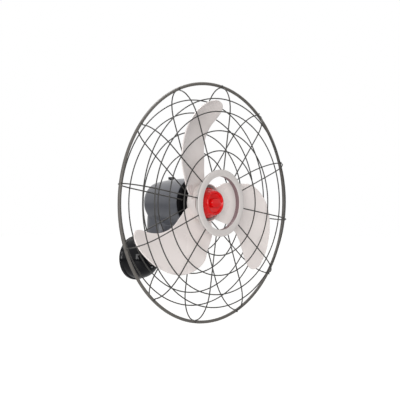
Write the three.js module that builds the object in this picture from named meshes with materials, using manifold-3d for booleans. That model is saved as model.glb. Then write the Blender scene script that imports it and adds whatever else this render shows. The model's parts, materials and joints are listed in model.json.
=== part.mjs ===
// Wall mounted fan, 60 cm class, with a tilting and oscillating head.
// Millimetres. +Z is up, the wall is the plane y = 0, and the fan blows towards -Y.
// The origin is the centre of the wall plate's back face.
import * as THREE from "three";
import { mergeVertices } from "three/addons/utils/BufferGeometryUtils.js";
import Module from "manifold-3d";

const wasm = await Module();
wasm.setup();

// ---------------------------------------------------------------- clearances
const SEAT = 0.3; // gap between two faces that rest on each other
const RUN = 0.5; // gap between faces that slide past each other

// ---------------------------------------------------------------- layout
const AXIS_HEIGHT = 150; // fan axis above the wall plate's centre
const SWIVEL_REACH = 100; // upright swivel axis, out from the wall
const SWIVEL_SETBACK = 168; // swivel axis behind the plane of the guard's hoop
const HOOP_REACH = SWIVEL_REACH + SWIVEL_SETBACK; // plane of the guard's hoop, out from the wall
const TILT_HEIGHT = 12; // tilt bolt above the wall plate's centre

// ---------------------------------------------------------------- wall mount
const PLATE_RADIUS = 54;
const PLATE_THICKNESS = 3;
const PLATE_CABLE_HOLE = 6; // below the arm's foot
const PLATE_CABLE_DROP = 42;
const WALL_SCREW_CIRCLE = 44;
const WALL_SCREW_HOLE = 3.3;
const CANOPY_RADIUS = 59;
const CANOPY_RIM = 8; // depth of the canopy's straight rim
const CANOPY_DEPTH = 61;
const CANOPY_NOSE_RADIUS = 20;
const CANOPY_WALL = 2;
const CANOPY_COLLAR = 6; // length of the collar in front of the nose
const CANOPY_COLLAR_WALL = 4;
const ARM_RADIUS = 17;
const ARM_BORE = 7;
const ARM_FOOT_RADIUS = 30;
const ARM_FOOT_THICKNESS = 7;
const ARM_BOLT_CIRCLE = 23.4;
const ARM_BOLT_RADIUS = 3;
const FORK_RADIUS = 16;
const FORK_EAR = 8.5; // thickness of each ear
const TONGUE_WIDTH = 15;
const TONGUE_RADIUS = 15;
const TILT_BOLT_RADIUS = 5;
const WASHER_THICKNESS = 1.6;

// ---------------------------------------------------------------- swivel
const SEAT_TOP = 56; // height of the swivel seat
const SEAT_THICKNESS = 5;
const SEAT_RADIUS = 36;
const PIN_RADIUS = 7;
const PIN_DEPTH = 24; // length of the swivel pin inside the tilt bracket
const THRUST_WASHER = 1.4;
const NECK_PLATE_THICKNESS = 5;
const NECK_BOSS_RADIUS = 12;
const NECK_BOSS_LENGTH = 11;
const LINK_ARM_THICKNESS = 2.5;
const LINK_ARM_REACH = 12; // swivel axis to the link's fixed pivot
const LINK_THICKNESS = 2;
const LINK_EYE = 4.4;
const LINK_PIN_RADIUS = 1.8;
const SWIVEL_LIMIT = 40; // degrees each way

// ---------------------------------------------------------------- motor
const HOUSING_FRONT = -50; // front edge, forward of the hoop's plane
const HOUSING_FRONT_RADIUS = 62.6;
const HOUSING_REAR_RADIUS = HOUSING_FRONT_RADIUS - 9.6;
const HOUSING_BEHIND_SWIVEL = 25;
const HOUSING_LENGTH = SWIVEL_SETBACK + HOUSING_BEHIND_SWIVEL + HOUSING_FRONT;
const HOUSING_ROUND = 25; // rounding of the rear edge
const HOUSING_WALL = 2.5;
const NECK_RADIUS = 37;
const NECK_DOME_TOP = -8; // top of the neck's dome, from the fan axis
const NECK_DOME_BASE = -48;
const COVER_FACE = HOUSING_FRONT + 3.7; // flat face that the rear guard's plate rests on
const COVER_DOME = HOUSING_FRONT + 14;
const COVER_WALL = 2.6;
const VENTS = 12;
const AIR_GAP = 0.6;
const WINDING_LENGTH = 12;
const GEAR_ROOM = 41; // rear bracket to swivel axis, for the oscillation gear
const BRACKET_REAR = GEAR_ROOM - SWIVEL_SETBACK;
const BRACKET_RADIUS = HOUSING_FRONT_RADIUS - 8.2;
const THROUGH_BOLT_RADIUS = 1.9;
const THROUGH_BOLT_CIRCLE = BRACKET_RADIUS - THROUGH_BOLT_RADIUS - 1.2;
const THROUGH_BOLTS = 4;
const CORE_RADIUS = THROUGH_BOLT_CIRCLE - 2 * THROUGH_BOLT_RADIUS;
const CORE_FRONT = HOUSING_FRONT - 20;
const CORE_LENGTH = CORE_FRONT - BRACKET_REAR - COVER_WALL - WINDING_LENGTH - 6.4;
const CORE_SLOTS = 12;
const ROTOR_RADIUS = CORE_RADIUS - 21;
const SHAFT_RADIUS = 5;
const SHAFT_REAR_RADIUS = 3;
const BEARING_RADIUS = SHAFT_RADIUS + 3;
const BEARING_LENGTH = 7;

// ---------------------------------------------------------------- oscillation gear
const WORM_MODULE = 0.8;
const WORM_RADIUS = 5; // pitch radius
const WORM_LENGTH = 14;
const WHEEL_TEETH = 30;
const WHEEL_THICKNESS = 7;
const GEAR_MODULE = 0.9;
const PINION_TEETH = 8;
const CRANK_GEAR_TEETH = 32;
const TOOTH_SHARE = 0.47; // of the pitch, midway up a tooth
const MESH_GAP = 0.2; // added to each pair's centre distance
const WHEEL_FROM_SWIVEL = 20.5; // worm wheel's axis in front of the swivel axis
const SPINDLE_RADIUS = 2.7;
const CRANK_SHAFT_RADIUS = 3;
const KNOB_TRAVEL = 5;
const KNOB_RADIUS = 8;
const KNOB_TOP = 66; // above the fan axis
const CASE_WALL = 2.2;
const CASE_REAR = 3.5; // rear face of the gear case, behind the swivel axis

// ---------------------------------------------------------------- propeller
const HUB_RADIUS = 48.5;
const HUB_FRONT = 2.4;
const HUB_BACK = -29.5;
const HUB_WALL = 2.5;
const HUB_BOSS = 12;
const BLADES = 3;
const TIP_RADIUS = 262;
const TIP_ROUND = 57; // radial length of the blade's rounded end
const BLADE_ROOT_THICKNESS = 3.2;
const BLADE_TIP_THICKNESS = 2.2;
const BLADE_CAMBER = 4;
const NUT_RADIUS = 39;
const NUT_RIM = 29; // raised rim round the dished end
const NUT_RIM_FRONT = 28.5;
const NUT_DISH = 5.5;
const NUT_WALL = 3;
const NUT_GRIP = 11.5; // end radius of the grip across the dish
const NUT_GRIP_REACH = 5; // nut axis to the middle of each end

// ---------------------------------------------------------------- guard
const HOOP_RADIUS = 300;
const HOOP_BAR = 4; // half the hoop's bar
const WIRE = 1.6; // half a guard wire
const GUARD_ARMS = 12;
const FIRST_ARM_ANGLE = 20.5;
const GUARD_DEPTH = 45; // flat rings, each way from the hoop's plane
const RINGS = [261, 228.5, 180.5, 130.5];
const ARM_BEND_START = 219;
const WELD = 0.8; // how deep two welded wires sink into each other
const CENTRE_RING_OUTER = 84;
const CENTRE_RING_INNER = 66.7;
const CENTRE_RING_FRONT = 48.5;
const CENTRE_RING_DEPTH = 13.5;
const CENTRE_RING_WALL = 2;
const CENTRE_WIRE_RADIUS = 77;
const GUARD_PLATE_INNER = THROUGH_BOLT_CIRCLE - 6.3;
const GUARD_PLATE_OUTER = THROUGH_BOLT_CIRCLE + 5.7;
const GUARD_PLATE_THICKNESS = 2.4;

// ================================================================ shapes
const rad = THREE.MathUtils.degToRad;
const TURN = 2 * Math.PI;

/** A closed geometry as a solid whose faces point out. */
function solid(geometry) {
  const bare = geometry.index ? geometry.toNonIndexed() : geometry.clone();
  bare.deleteAttribute("normal");
  bare.deleteAttribute("uv");
  const merged = mergeVertices(bare, 1e-4);
  const corner = (i) => new THREE.Vector3().fromBufferAttribute(merged.attributes.position, i);
  const faces = [];
  let volume = 0;
  for (let i = 0; i < merged.index.count; i += 3) {
    const [a, b, c] = [0, 1, 2].map((k) => merged.index.getX(i + k));
    if (a === b || b === c || c === a) continue;
    faces.push([a, b, c]);
    volume += corner(a).dot(corner(b).cross(corner(c)));
  }
  const triVerts = new Uint32Array(faces.flatMap((face) => (volume < 0 ? face.reverse() : face)));
  const vertProperties = new Float32Array(merged.attributes.position.array);
  return new wasm.Manifold(new wasm.Mesh({ numProp: 3, vertProperties, triVerts }));
}

/** A solid as a three.js geometry. */
function geometryOf(made) {
  const mesh = made.getMesh();
  const geometry = new THREE.BufferGeometry();
  geometry.setAttribute("position", new THREE.BufferAttribute(mesh.vertProperties, 3));
  geometry.setIndex(new THREE.BufferAttribute(mesh.triVerts, 1));
  return geometry;
}

const join = (...parts) => geometryOf(parts.map(solid).reduce((all, part) => all.add(part)));
const cut = (base, ...tools) => geometryOf(tools.map(solid).reduce((left, tool) => left.subtract(tool), solid(base)));

/** Turned shape about Y. The profile is [radius, along]; off the axis it closes on itself. */
function turned(profile, sides = 24) {
  const outline = profile.map(([radius, along]) => new THREE.Vector2(radius, along));
  if (profile[0][0] > 0) outline.push(outline[0].clone());
  return new THREE.LatheGeometry(outline, sides);
}
/** Turned about the fan axis; along counts forward, towards -Y. */
const turnedForward = (profile, sides) => turned(profile, sides).rotateX(Math.PI);
/** Turned about an upright axis. */
const turnedUp = (profile, sides) => turned(profile, sides).rotateX(Math.PI / 2);
/** Turned about an axis along X. */
const turnedAcross = (profile, sides) => turned(profile, sides).rotateZ(-Math.PI / 2);

const rod = (radius, from, to) => [[0, from], [radius, from], [radius, to], [0, to]];
const tube = (outer, inner, from, to) => [[inner, from], [outer, from], [outer, to], [inner, to]];

/** A flat outline of [x, y] points, pushed along Z. */
function plate(points, from, to) {
  const shape = new THREE.Shape(points.map(([x, y]) => new THREE.Vector2(x, y)));
  return new THREE.ExtrudeGeometry(shape, { depth: to - from, bevelEnabled: false }).translate(0, 0, from);
}
/** An outline of [y, z] points, pushed along X. */
const plateAcross = (points, from, to) => plate(points, from, to).rotateX(Math.PI / 2).rotateZ(Math.PI / 2);
/** An outline of [x, z] points, pushed forward; from and to count towards -Y. */
const plateForward = (points, from, to) => plate(points, from, to).rotateX(Math.PI / 2);

/** Points of an arc or ellipse about a centre, from one angle to another, in degrees. */
function arc([x, y], [radiusX, radiusY], from, to, steps) {
  return Array.from({ length: steps + 1 }, (_, i) => {
    const angle = rad(from + ((to - from) * i) / steps);
    return [x + radiusX * Math.cos(angle), y + radiusY * Math.sin(angle)];
  });
}
const circle = (radius, sides, turn = 0) => arc([0, 0], [radius, radius], turn, turn + 360, sides).slice(0, -1);
const box = (x, y, z, at) => new THREE.BoxGeometry(x, y, z).translate(...at);

/** A path through given points, with a section of the sweep at each of them. */
class Route extends THREE.Curve {
  constructor(points) {
    super();
    this.points = points;
  }
  getPoint(t) {
    const place = Math.min(t, 1) * (this.points.length - 1);
    const step = Math.min(Math.floor(place), this.points.length - 2);
    return this.points[step].clone().lerp(this.points[step + 1], place - step);
  }
  getUtoTmapping(u) {
    return u;
  }
}

/** A round wire along points in space. */
function wire(points, radius, sides) {
  const section = new THREE.Shape(circle(radius, sides, 180 / sides).map(([x, y]) => new THREE.Vector2(x, y)));
  const options = { steps: points.length - 1, bevelEnabled: false, extrudePath: new Route(points) };
  return new THREE.ExtrudeGeometry(section, options);
}

/** Screw or bolt with its head at the top, along Z: shank from `tip` to 0, head above 0. */
const screw = (shank, head, headHeight, tip, sides = 8) =>
  turnedUp([[0, tip], [shank, tip], [shank, 0], [head, 0], [head, headHeight], [0, headHeight]], sides);
/** The same with its head facing forward, along -Y. */
const screwForward = (...sizes) => screw(...sizes).rotateX(Math.PI / 2);

/** Spur gear with straight-sided teeth, upright, centred on its axis. */
function gear(teeth, module, thickness, bore, toothShare) {
  const pitch = (teeth * module) / 2;
  const outline = [];
  for (let i = 0; i < teeth; i++) {
    const middle = (360 * i) / teeth;
    const half = (180 * toothShare) / teeth;
    for (const [radius, offset] of [
      [pitch - module, -1.3 * half],
      [pitch + module * 0.7, -0.6 * half],
      [pitch + module * 0.7, 0.6 * half],
      [pitch - module, 1.3 * half],
    ]) {
      const angle = rad(middle + offset);
      outline.push([radius * Math.cos(angle), radius * Math.sin(angle)]);
    }
  }
  return cut(plate(outline, -thickness / 2, thickness / 2), turnedUp(rod(bore, -thickness, thickness), 10));
}

/** A closed skin over sections of equal point counts. */
function loft(sections) {
  const count = sections[0].length;
  const index = [];
  for (let i = 0; i + 1 < sections.length; i++) {
    for (let j = 0; j < count; j++) {
      const [a, b] = [i * count + j, i * count + ((j + 1) % count)];
      index.push(a, b, b + count, a, b + count, a + count);
    }
  }
  const last = (sections.length - 1) * count;
  for (let j = 1; j + 1 < count; j++) index.push(0, j + 1, j, last, last + j, last + j + 1);
  const geometry = new THREE.BufferGeometry();
  geometry.setAttribute("position", new THREE.Float32BufferAttribute(sections.flat(2), 3));
  return geometry.setIndex(index);
}

// ================================================================ finishes
const finish = (color, roughness, metalness = 0) => new THREE.MeshStandardMaterial({ color, roughness, metalness });
const FINISH = {
  castGrey: finish(0x55565c, 0.45, 0.1),
  blackGloss: finish(0x141416, 0.25),
  blackMatte: finish(0x1a1a1c, 0.6),
  wireGrey: finish(0x4a4845, 0.5, 0.3),
  bladeGrey: finish(0xd8cfca, 0.35),
  ringGrey: finish(0xb4b2ae, 0.45),
  red: finish(0xc81818, 0.2),
  steel: finish(0x9a9ca0, 0.35, 0.9),
  darkSteel: finish(0x4c4d50, 0.5, 0.8),
  bronze: finish(0x8a6a3a, 0.45, 0.8),
  copper: finish(0x9c5a34, 0.4, 0.8),
  nylon: finish(0xd9d6cc, 0.5),
};

/** A named piece of the fan. */
function piece(name, geometry, material) {
  const mesh = new THREE.Mesh(geometryOf(solid(geometry)), material);
  mesh.geometry.computeVertexNormals();
  mesh.name = name;
  return mesh;
}
const placed = (mesh, x, y, z) => {
  mesh.position.set(x, y, z);
  return mesh;
};

// ================================================================ wall mount
const wallMount = new THREE.Group();

function wallPlate() {
  const drill = (radius, reach, angle) => turnedForward(rod(radius, -1, PLATE_THICKNESS + 1), 10)
    .translate(reach * Math.cos(rad(angle)), 0, reach * Math.sin(rad(angle)));
  const holes = [30, 150, 270].map((angle) => drill(ARM_BOLT_RADIUS + SEAT, ARM_BOLT_CIRCLE, angle));
  holes.push(...[90, 210, 330].map((angle) => drill(WALL_SCREW_HOLE, WALL_SCREW_CIRCLE, angle)));
  holes.push(drill(PLATE_CABLE_HOLE, PLATE_CABLE_DROP, 270));
  const disc = turnedForward(rod(PLATE_RADIUS, 0, PLATE_THICKNESS), 32);
  return piece("wall_plate", cut(disc, ...holes), FINISH.steel);
}

const CANOPY_DOME_BASE = CANOPY_RADIUS - 3;
const COLLAR_RADIUS = ARM_RADIUS + SEAT + CANOPY_COLLAR_WALL;
const CANOPY_FRONT = CANOPY_DEPTH + CANOPY_COLLAR;

function canopy() {
  // A quarter ellipse from the rim's step to the nose.
  const dome = (wall) => {
    const start = CANOPY_RIM + 2;
    const span = [CANOPY_DOME_BASE - CANOPY_NOSE_RADIUS, CANOPY_DEPTH - start - wall];
    return arc([CANOPY_NOSE_RADIUS - wall, start], span, 0, 84, 5);
  };
  const outer = [[CANOPY_RADIUS, SEAT], [CANOPY_RADIUS, CANOPY_RIM], [CANOPY_DOME_BASE, CANOPY_RIM + 1.5], ...dome(0)];
  const collar = [
    [COLLAR_RADIUS, CANOPY_DEPTH], [COLLAR_RADIUS, CANOPY_FRONT],
    [ARM_RADIUS + SEAT, CANOPY_FRONT], [ARM_RADIUS + SEAT, CANOPY_DEPTH - CANOPY_WALL],
  ];
  const rim = CANOPY_RADIUS - CANOPY_WALL;
  const inner = [...dome(CANOPY_WALL).reverse(), [CANOPY_DOME_BASE - CANOPY_WALL, CANOPY_RIM - 1], [rim, CANOPY_RIM - 2], [rim, SEAT]];
  const bell = turnedForward([...outer, ...collar, ...inner], 30);
  const screwHole = turnedUp(rod(2 + SEAT, -COLLAR_RADIUS - 1, -ARM_RADIUS + 1), 8)
    .translate(0, -(CANOPY_FRONT - CANOPY_COLLAR / 2), 0);
  return piece("wall_canopy", cut(bell, screwHole), FINISH.blackGloss);
}

const FORK_GAP = TONGUE_WIDTH + 2 * SEAT;
const FORK_WIDTH = FORK_GAP + 2 * FORK_EAR;
const ARM_FOOT_BACK = PLATE_THICKNESS + SEAT;

function wallArm() {
  const footFront = ARM_FOOT_BACK + ARM_FOOT_THICKNESS;
  const forkBack = SWIVEL_REACH - FORK_RADIUS - 4;
  const bar = turnedForward([
    [0, ARM_FOOT_BACK], [ARM_FOOT_RADIUS, ARM_FOOT_BACK], [ARM_FOOT_RADIUS, footFront],
    [ARM_RADIUS, footFront], [ARM_RADIUS, forkBack + 4], [0, forkBack + 4],
  ]);
  const round = arc([-SWIVEL_REACH, TILT_HEIGHT], [FORK_RADIUS, FORK_RADIUS], 90, 270, 12);
  const ears = plateAcross(
    [[-forkBack, FORK_RADIUS - 1], ...round, [-forkBack, TILT_HEIGHT - FORK_RADIUS - 9]],
    -FORK_WIDTH / 2, FORK_WIDTH / 2,
  );
  const slotBack = SWIVEL_REACH - TONGUE_RADIUS - 2;
  const slot = box(FORK_GAP, 60, 80, [0, -slotBack - 30, TILT_HEIGHT]);
  const pinHole = turnedAcross(rod(TILT_BOLT_RADIUS + SEAT, -FORK_WIDTH, FORK_WIDTH), 14)
    .translate(0, -SWIVEL_REACH, TILT_HEIGHT);
  const cableBore = turnedForward(rod(ARM_BORE, footFront - 2, slotBack + 5), 14);
  const cableInlet = turnedUp(rod(PLATE_CABLE_HOLE, -ARM_RADIUS - 1, 0), 10).translate(0, -footFront - 12, 0);
  const boltHoles = [30, 150, 270].map((angle) => turnedForward(rod(ARM_BOLT_RADIUS + SEAT, 0, footFront + 1), 10)
    .translate(ARM_BOLT_CIRCLE * Math.cos(rad(angle)), 0, ARM_BOLT_CIRCLE * Math.sin(rad(angle))));
  return piece("wall_arm", cut(join(bar, ears), slot, pinHole, cableBore, cableInlet, ...boltHoles), FINISH.blackMatte);
}

function armBolts() {
  const headBack = ARM_FOOT_BACK + ARM_FOOT_THICKNESS + SEAT;
  return [30, 150, 270].map((angle, i) => placed(
    piece(`arm_bolt_${i + 1}`, screwForward(ARM_BOLT_RADIUS, 5.2, 4, SEAT - headBack), FINISH.steel),
    ARM_BOLT_CIRCLE * Math.cos(rad(angle)), -headBack, ARM_BOLT_CIRCLE * Math.sin(rad(angle)),
  ));
}

function canopyScrew() {
  const shape = screw(2, 2.7, 2, -(CANOPY_COLLAR_WALL + SEAT - 0.2), 8).rotateX(Math.PI);
  return placed(piece("canopy_screw", shape, FINISH.darkSteel), 0, -(CANOPY_FRONT - CANOPY_COLLAR / 2), -COLLAR_RADIUS - SEAT);
}

function tiltBolt() {
  const earFace = FORK_WIDTH / 2 + SEAT + WASHER_THICKNESS + SEAT;
  const at = [0, -SWIVEL_REACH, TILT_HEIGHT];
  const headLength = 6;
  const bolt = turnedAcross([
    [0, -earFace - headLength], [8.5, -earFace - headLength], [8.5, -earFace],
    [TILT_BOLT_RADIUS, -earFace], [TILT_BOLT_RADIUS, earFace + 10], [0, earFace + 10],
  ], 16);
  const nutShape = cut(
    plate(circle(9.4, 6), earFace, earFace + 8).rotateY(Math.PI / 2),
    turnedAcross(rod(TILT_BOLT_RADIUS + SEAT, earFace - 1, earFace + 9), 16),
  );
  const washer = (side) => turnedAcross(tube(10, TILT_BOLT_RADIUS + SEAT, 0, WASHER_THICKNESS), 16)
    .translate(side > 0 ? FORK_WIDTH / 2 + SEAT : -FORK_WIDTH / 2 - SEAT - WASHER_THICKNESS, 0, 0);
  return [
    piece("tilt_bolt", bolt, FINISH.steel),
    piece("tilt_nut", nutShape, FINISH.steel),
    piece("tilt_washer_1", washer(1), FINISH.steel),
    piece("tilt_washer_2", washer(-1), FINISH.steel),
  ].map((mesh) => placed(mesh, ...at));
}

wallMount.add(wallPlate(), canopy(), wallArm(), ...armBolts(), canopyScrew(), ...tiltBolt());

// ================================================================ tilt bracket and swivel
// Everything here is placed on the upright swivel axis.
const tiltGroup = placed(new THREE.Group(), 0, -SWIVEL_REACH, 0);

const PIN_FOOT = SEAT_TOP - PIN_DEPTH;
const NECK_PLATE_BASE = SEAT_TOP + THRUST_WASHER + 2 * SEAT;
const NECK_BOSS_TOP = NECK_PLATE_BASE + NECK_PLATE_THICKNESS + NECK_BOSS_LENGTH;
const PIN_TOP = NECK_BOSS_TOP + RUN;
const LINK_ARM_BASE = PIN_TOP + SEAT;
const LINK_BASE = LINK_ARM_BASE + LINK_ARM_THICKNESS + SEAT;
const LINK_TOP = LINK_BASE + LINK_THICKNESS;
const CRANK_PIN_FOOT = LINK_TOP + RUN;
const SCREW_HEAD = 2.6;

function tiltBracket() {
  const seatBase = SEAT_TOP - SEAT_THICKNESS;
  const columnTop = seatBase + 1;
  const tongue = plateAcross([
    ...arc([0, TILT_HEIGHT], [TONGUE_RADIUS, TONGUE_RADIUS], 180, 360, 12),
    [NECK_BOSS_RADIUS, columnTop], [-NECK_BOSS_RADIUS, columnTop],
  ], -TONGUE_WIDTH / 2, TONGUE_WIDTH / 2);
  const clearHeight = TILT_HEIGHT + FORK_RADIUS + 3;
  const column = turnedUp([
    [0, clearHeight], [NECK_BOSS_RADIUS + 1, clearHeight], [NECK_BOSS_RADIUS + 3, seatBase - 4],
    [SEAT_RADIUS - 3, seatBase], [SEAT_RADIUS, seatBase + 2], [SEAT_RADIUS, SEAT_TOP], [0, SEAT_TOP],
  ], 28);
  const boltHole = turnedAcross(rod(TILT_BOLT_RADIUS + SEAT, -TONGUE_WIDTH, TONGUE_WIDTH), 14).translate(0, 0, TILT_HEIGHT);
  const pinHole = turnedUp(rod(PIN_RADIUS + SEAT, PIN_FOOT - SEAT, SEAT_TOP + 1), 16);
  return piece("tilt_bracket", cut(join(tongue, column), boltHole, pinHole), FINISH.castGrey);
}

function swivelPin() {
  const tapping = turnedUp(rod(2.5 + SEAT, PIN_TOP - 9, PIN_TOP + 1), 10);
  return piece("swivel_pin", cut(turnedUp(rod(PIN_RADIUS, PIN_FOOT, PIN_TOP), 16), tapping), FINISH.steel);
}

const thrustWasher = () => piece(
  "thrust_washer",
  turnedUp(tube(20, PIN_RADIUS + SEAT, SEAT_TOP + SEAT, SEAT_TOP + SEAT + THRUST_WASHER), 14),
  FINISH.nylon,
);

/** A flat link: two round eyes with a bar between them, the first eye on the origin. */
function linkShape(length, angle, eyes, holes, thickness) {
  const bar = box(length, 2 * Math.min(...eyes) * 0.8, thickness, [length / 2, 0, thickness / 2]);
  const ends = eyes.map((radius, i) => turnedUp(rod(radius, 0, thickness), 16).translate(i * length, 0, 0));
  const bores = holes.map((radius, i) => turnedUp(rod(radius, -1, thickness + 1), 10).translate(i * length, 0, 0));
  return cut(join(bar, ...ends), ...bores).rotateZ(angle);
}

function linkArm() {
  const shape = linkShape(LINK_ARM_REACH, 0, [8, LINK_EYE], [2.5 + SEAT, LINK_PIN_RADIUS + SEAT], LINK_ARM_THICKNESS);
  return placed(piece("link_arm", shape, FINISH.steel), 0, 0, LINK_ARM_BASE);
}

const linkArmScrew = () => placed(
  piece("link_arm_screw", screw(2.5, 4, SCREW_HEAD, -LINK_ARM_THICKNESS - 7, 16), FINISH.steel),
  0, 0, LINK_ARM_BASE + LINK_ARM_THICKNESS + SEAT,
);
const linkPin = () => placed(
  piece("link_pin", screw(LINK_PIN_RADIUS, 3, 1, LINK_ARM_BASE - LINK_TOP - SEAT, 16), FINISH.steel),
  LINK_ARM_REACH, 0, LINK_TOP + SEAT,
);

tiltGroup.add(tiltBracket(), swivelPin(), thrustWasher(), linkArm(), linkArmScrew(), linkPin());

// ---------------------------------------------------------------- crank and link, seen from above
// The crank's throw and the link's length give the swivel its limits on both sides.
const wheelCentre = new THREE.Vector2(WORM_RADIUS + (WHEEL_TEETH * WORM_MODULE) / 2 + MESH_GAP, -WHEEL_FROM_SWIVEL);
const gearDistance = ((PINION_TEETH + CRANK_GEAR_TEETH) * GEAR_MODULE) / 2 + MESH_GAP;
const crankCentre = new THREE.Vector2(0, wheelCentre.y + Math.sqrt(gearDistance ** 2 - wheelCentre.x ** 2));
const anchorAt = (degrees) => new THREE.Vector2(LINK_ARM_REACH, 0).rotateAround(new THREE.Vector2(), rad(-degrees));
const nearest = crankCentre.distanceTo(anchorAt(SWIVEL_LIMIT));
const farthest = crankCentre.distanceTo(anchorAt(-SWIVEL_LIMIT));
const LINK_LENGTH = (farthest + nearest) / 2;
const CRANK_THROW = (farthest - nearest) / 2;

const toAnchor = anchorAt(0).sub(crankCentre);
const throwAngle = Math.acos(
  (CRANK_THROW ** 2 + toAnchor.lengthSq() - LINK_LENGTH ** 2) / (2 * CRANK_THROW * toAnchor.length()),
);
const crankAngle = toAnchor.angle() - throwAngle;
const crankPin = crankCentre.clone().add(new THREE.Vector2(CRANK_THROW, 0).rotateAround(new THREE.Vector2(), crankAngle));
const linkAngle = crankPin.clone().sub(anchorAt(0)).angle();

const link = placed(
  piece("crank_link", linkShape(
    LINK_LENGTH, linkAngle, [LINK_EYE, LINK_EYE], [LINK_PIN_RADIUS + SEAT, LINK_PIN_RADIUS + SEAT], LINK_THICKNESS,
  ), FINISH.steel),
  LINK_ARM_REACH, -SWIVEL_REACH, LINK_BASE,
);

// ================================================================ head
// The head's own frame: origin where the fan axis crosses the hoop's plane.
const head = placed(new THREE.Group(), 0, -HOOP_REACH, AXIS_HEIGHT);
const SWIVEL_Y = SWIVEL_SETBACK; // the swivel axis in the head's frame
const down = (height) => height - AXIS_HEIGHT; // a height above the wall plate's centre, in the head's frame

const REAR_END = HOUSING_FRONT - HOUSING_LENGTH;
/** The housing's outline, `wall` inside its outer surface. */
function bucket(wall, open) {
  const roundCentre = [HOUSING_REAR_RADIUS - HOUSING_ROUND, REAR_END + HOUSING_ROUND];
  const swell = 0.3 * HOUSING_LENGTH;
  return [
    [0, HOUSING_FRONT + open],
    [HOUSING_FRONT_RADIUS - wall, HOUSING_FRONT + open],
    [HOUSING_FRONT_RADIUS - 1.2 - wall, HOUSING_FRONT - swell],
    [(HOUSING_FRONT_RADIUS + HOUSING_REAR_RADIUS) / 2 - wall, HOUSING_FRONT - 2 * swell],
    ...arc(roundCentre, [HOUSING_ROUND - wall, HOUSING_ROUND - wall], 0, -90, 4),
    [0, REAR_END + wall],
  ];
}
/** The upright neck with its domed top, `wall` inside its outer surface. */
function neck(wall, base) {
  const dome = arc([0, NECK_DOME_BASE], [NECK_RADIUS - wall, NECK_DOME_TOP - NECK_DOME_BASE - wall], 0, 90, 4);
  dome[dome.length - 1][0] = 0;
  return turnedUp([[0, base], [NECK_RADIUS - wall, base], ...dome], 28).translate(0, SWIVEL_Y, 0);
}

const NECK_BASE = down(SEAT_TOP + 2 * SEAT);
const neckScrewHeight = down(NECK_PLATE_BASE + NECK_PLATE_THICKNESS / 2);
const NECK_SCREW_ANGLES = [30, 150, 270];
/** Lies radially in the neck's wall at one of the neck screws. */
const atNeckScrew = (shape, angle) => shape.rotateY(Math.PI / 2).rotateZ(rad(angle)).translate(0, SWIVEL_Y, neckScrewHeight);

const knobAt = [wheelCentre.x, SWIVEL_Y + wheelCentre.y];
const KNOB_STEM = 4;

function motorHousing() {
  const outer = join(turnedForward(bucket(0, 0), 30), neck(0, NECK_BASE));
  const knobHole = turnedUp(rod(KNOB_STEM + RUN, 30, 80), 10).translate(...knobAt, 0);
  const screwHoles = NECK_SCREW_ANGLES.map((angle) => atNeckScrew(turnedUp(rod(1.5 + SEAT, 25, 45), 8), angle));
  return piece("motor_housing", cut(
    outer, turnedForward(bucket(HOUSING_WALL, 1), 30), neck(HOUSING_WALL, NECK_BASE - 1), knobHole, ...screwHoles,
  ), FINISH.castGrey);
}

const NECK_INNER = NECK_RADIUS - HOUSING_WALL;
function neckPlate() {
  const base = down(NECK_PLATE_BASE);
  const bore = PIN_RADIUS + SEAT;
  const top = base + NECK_PLATE_THICKNESS;
  const disc = turnedUp([
    [bore, base], [NECK_INNER - SEAT, base], [NECK_INNER - SEAT, top], [NECK_BOSS_RADIUS, top],
    [NECK_BOSS_RADIUS, top + NECK_BOSS_LENGTH], [bore, top + NECK_BOSS_LENGTH],
  ], 24).translate(0, SWIVEL_Y, 0);
  const holes = NECK_SCREW_ANGLES.map((angle) => atNeckScrew(turnedUp(rod(1.5 + SEAT, NECK_INNER - 8, 45), 8), angle));
  return piece("neck_plate", cut(disc, ...holes), FINISH.bronze);
}
const neckScrews = () => NECK_SCREW_ANGLES.map((angle, i) => piece(
  `neck_screw_${i + 1}`,
  atNeckScrew(screw(1.5, 3, 1.8, -9).translate(0, 0, NECK_RADIUS + SEAT), angle),
  FINISH.darkSteel,
));

// ---------------------------------------------------------------- motor
const COVER_DOME_RADIUS = GUARD_PLATE_INNER - 11;
const COVER_RADIUS = HOUSING_FRONT_RADIUS - HOUSING_WALL - 4 * SEAT;
const CORE_REAR = CORE_FRONT - CORE_LENGTH;
const coreSeat = CORE_RADIUS + SEAT;
const bearingPocket = BEARING_RADIUS + SEAT;
const boltAngles = Array.from({ length: THROUGH_BOLTS }, (_, i) => FIRST_ARM_ANGLE + 15 + (360 * i) / THROUGH_BOLTS);
const onBoltCircle = (angle) => [THROUGH_BOLT_CIRCLE * Math.cos(rad(angle)), THROUGH_BOLT_CIRCLE * Math.sin(rad(angle))];
const boltHole = (from, to) => boltAngles.map((angle) => {
  const [x, z] = onBoltCircle(angle);
  return turnedForward(rod(THROUGH_BOLT_RADIUS + SEAT, from, to), 8).translate(x, 0, z);
});

const FRONT_BEARING_FRONT = COVER_DOME - COVER_WALL - SEAT;
const REAR_BEARING_REAR = BRACKET_REAR + COVER_WALL + SEAT;

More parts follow.
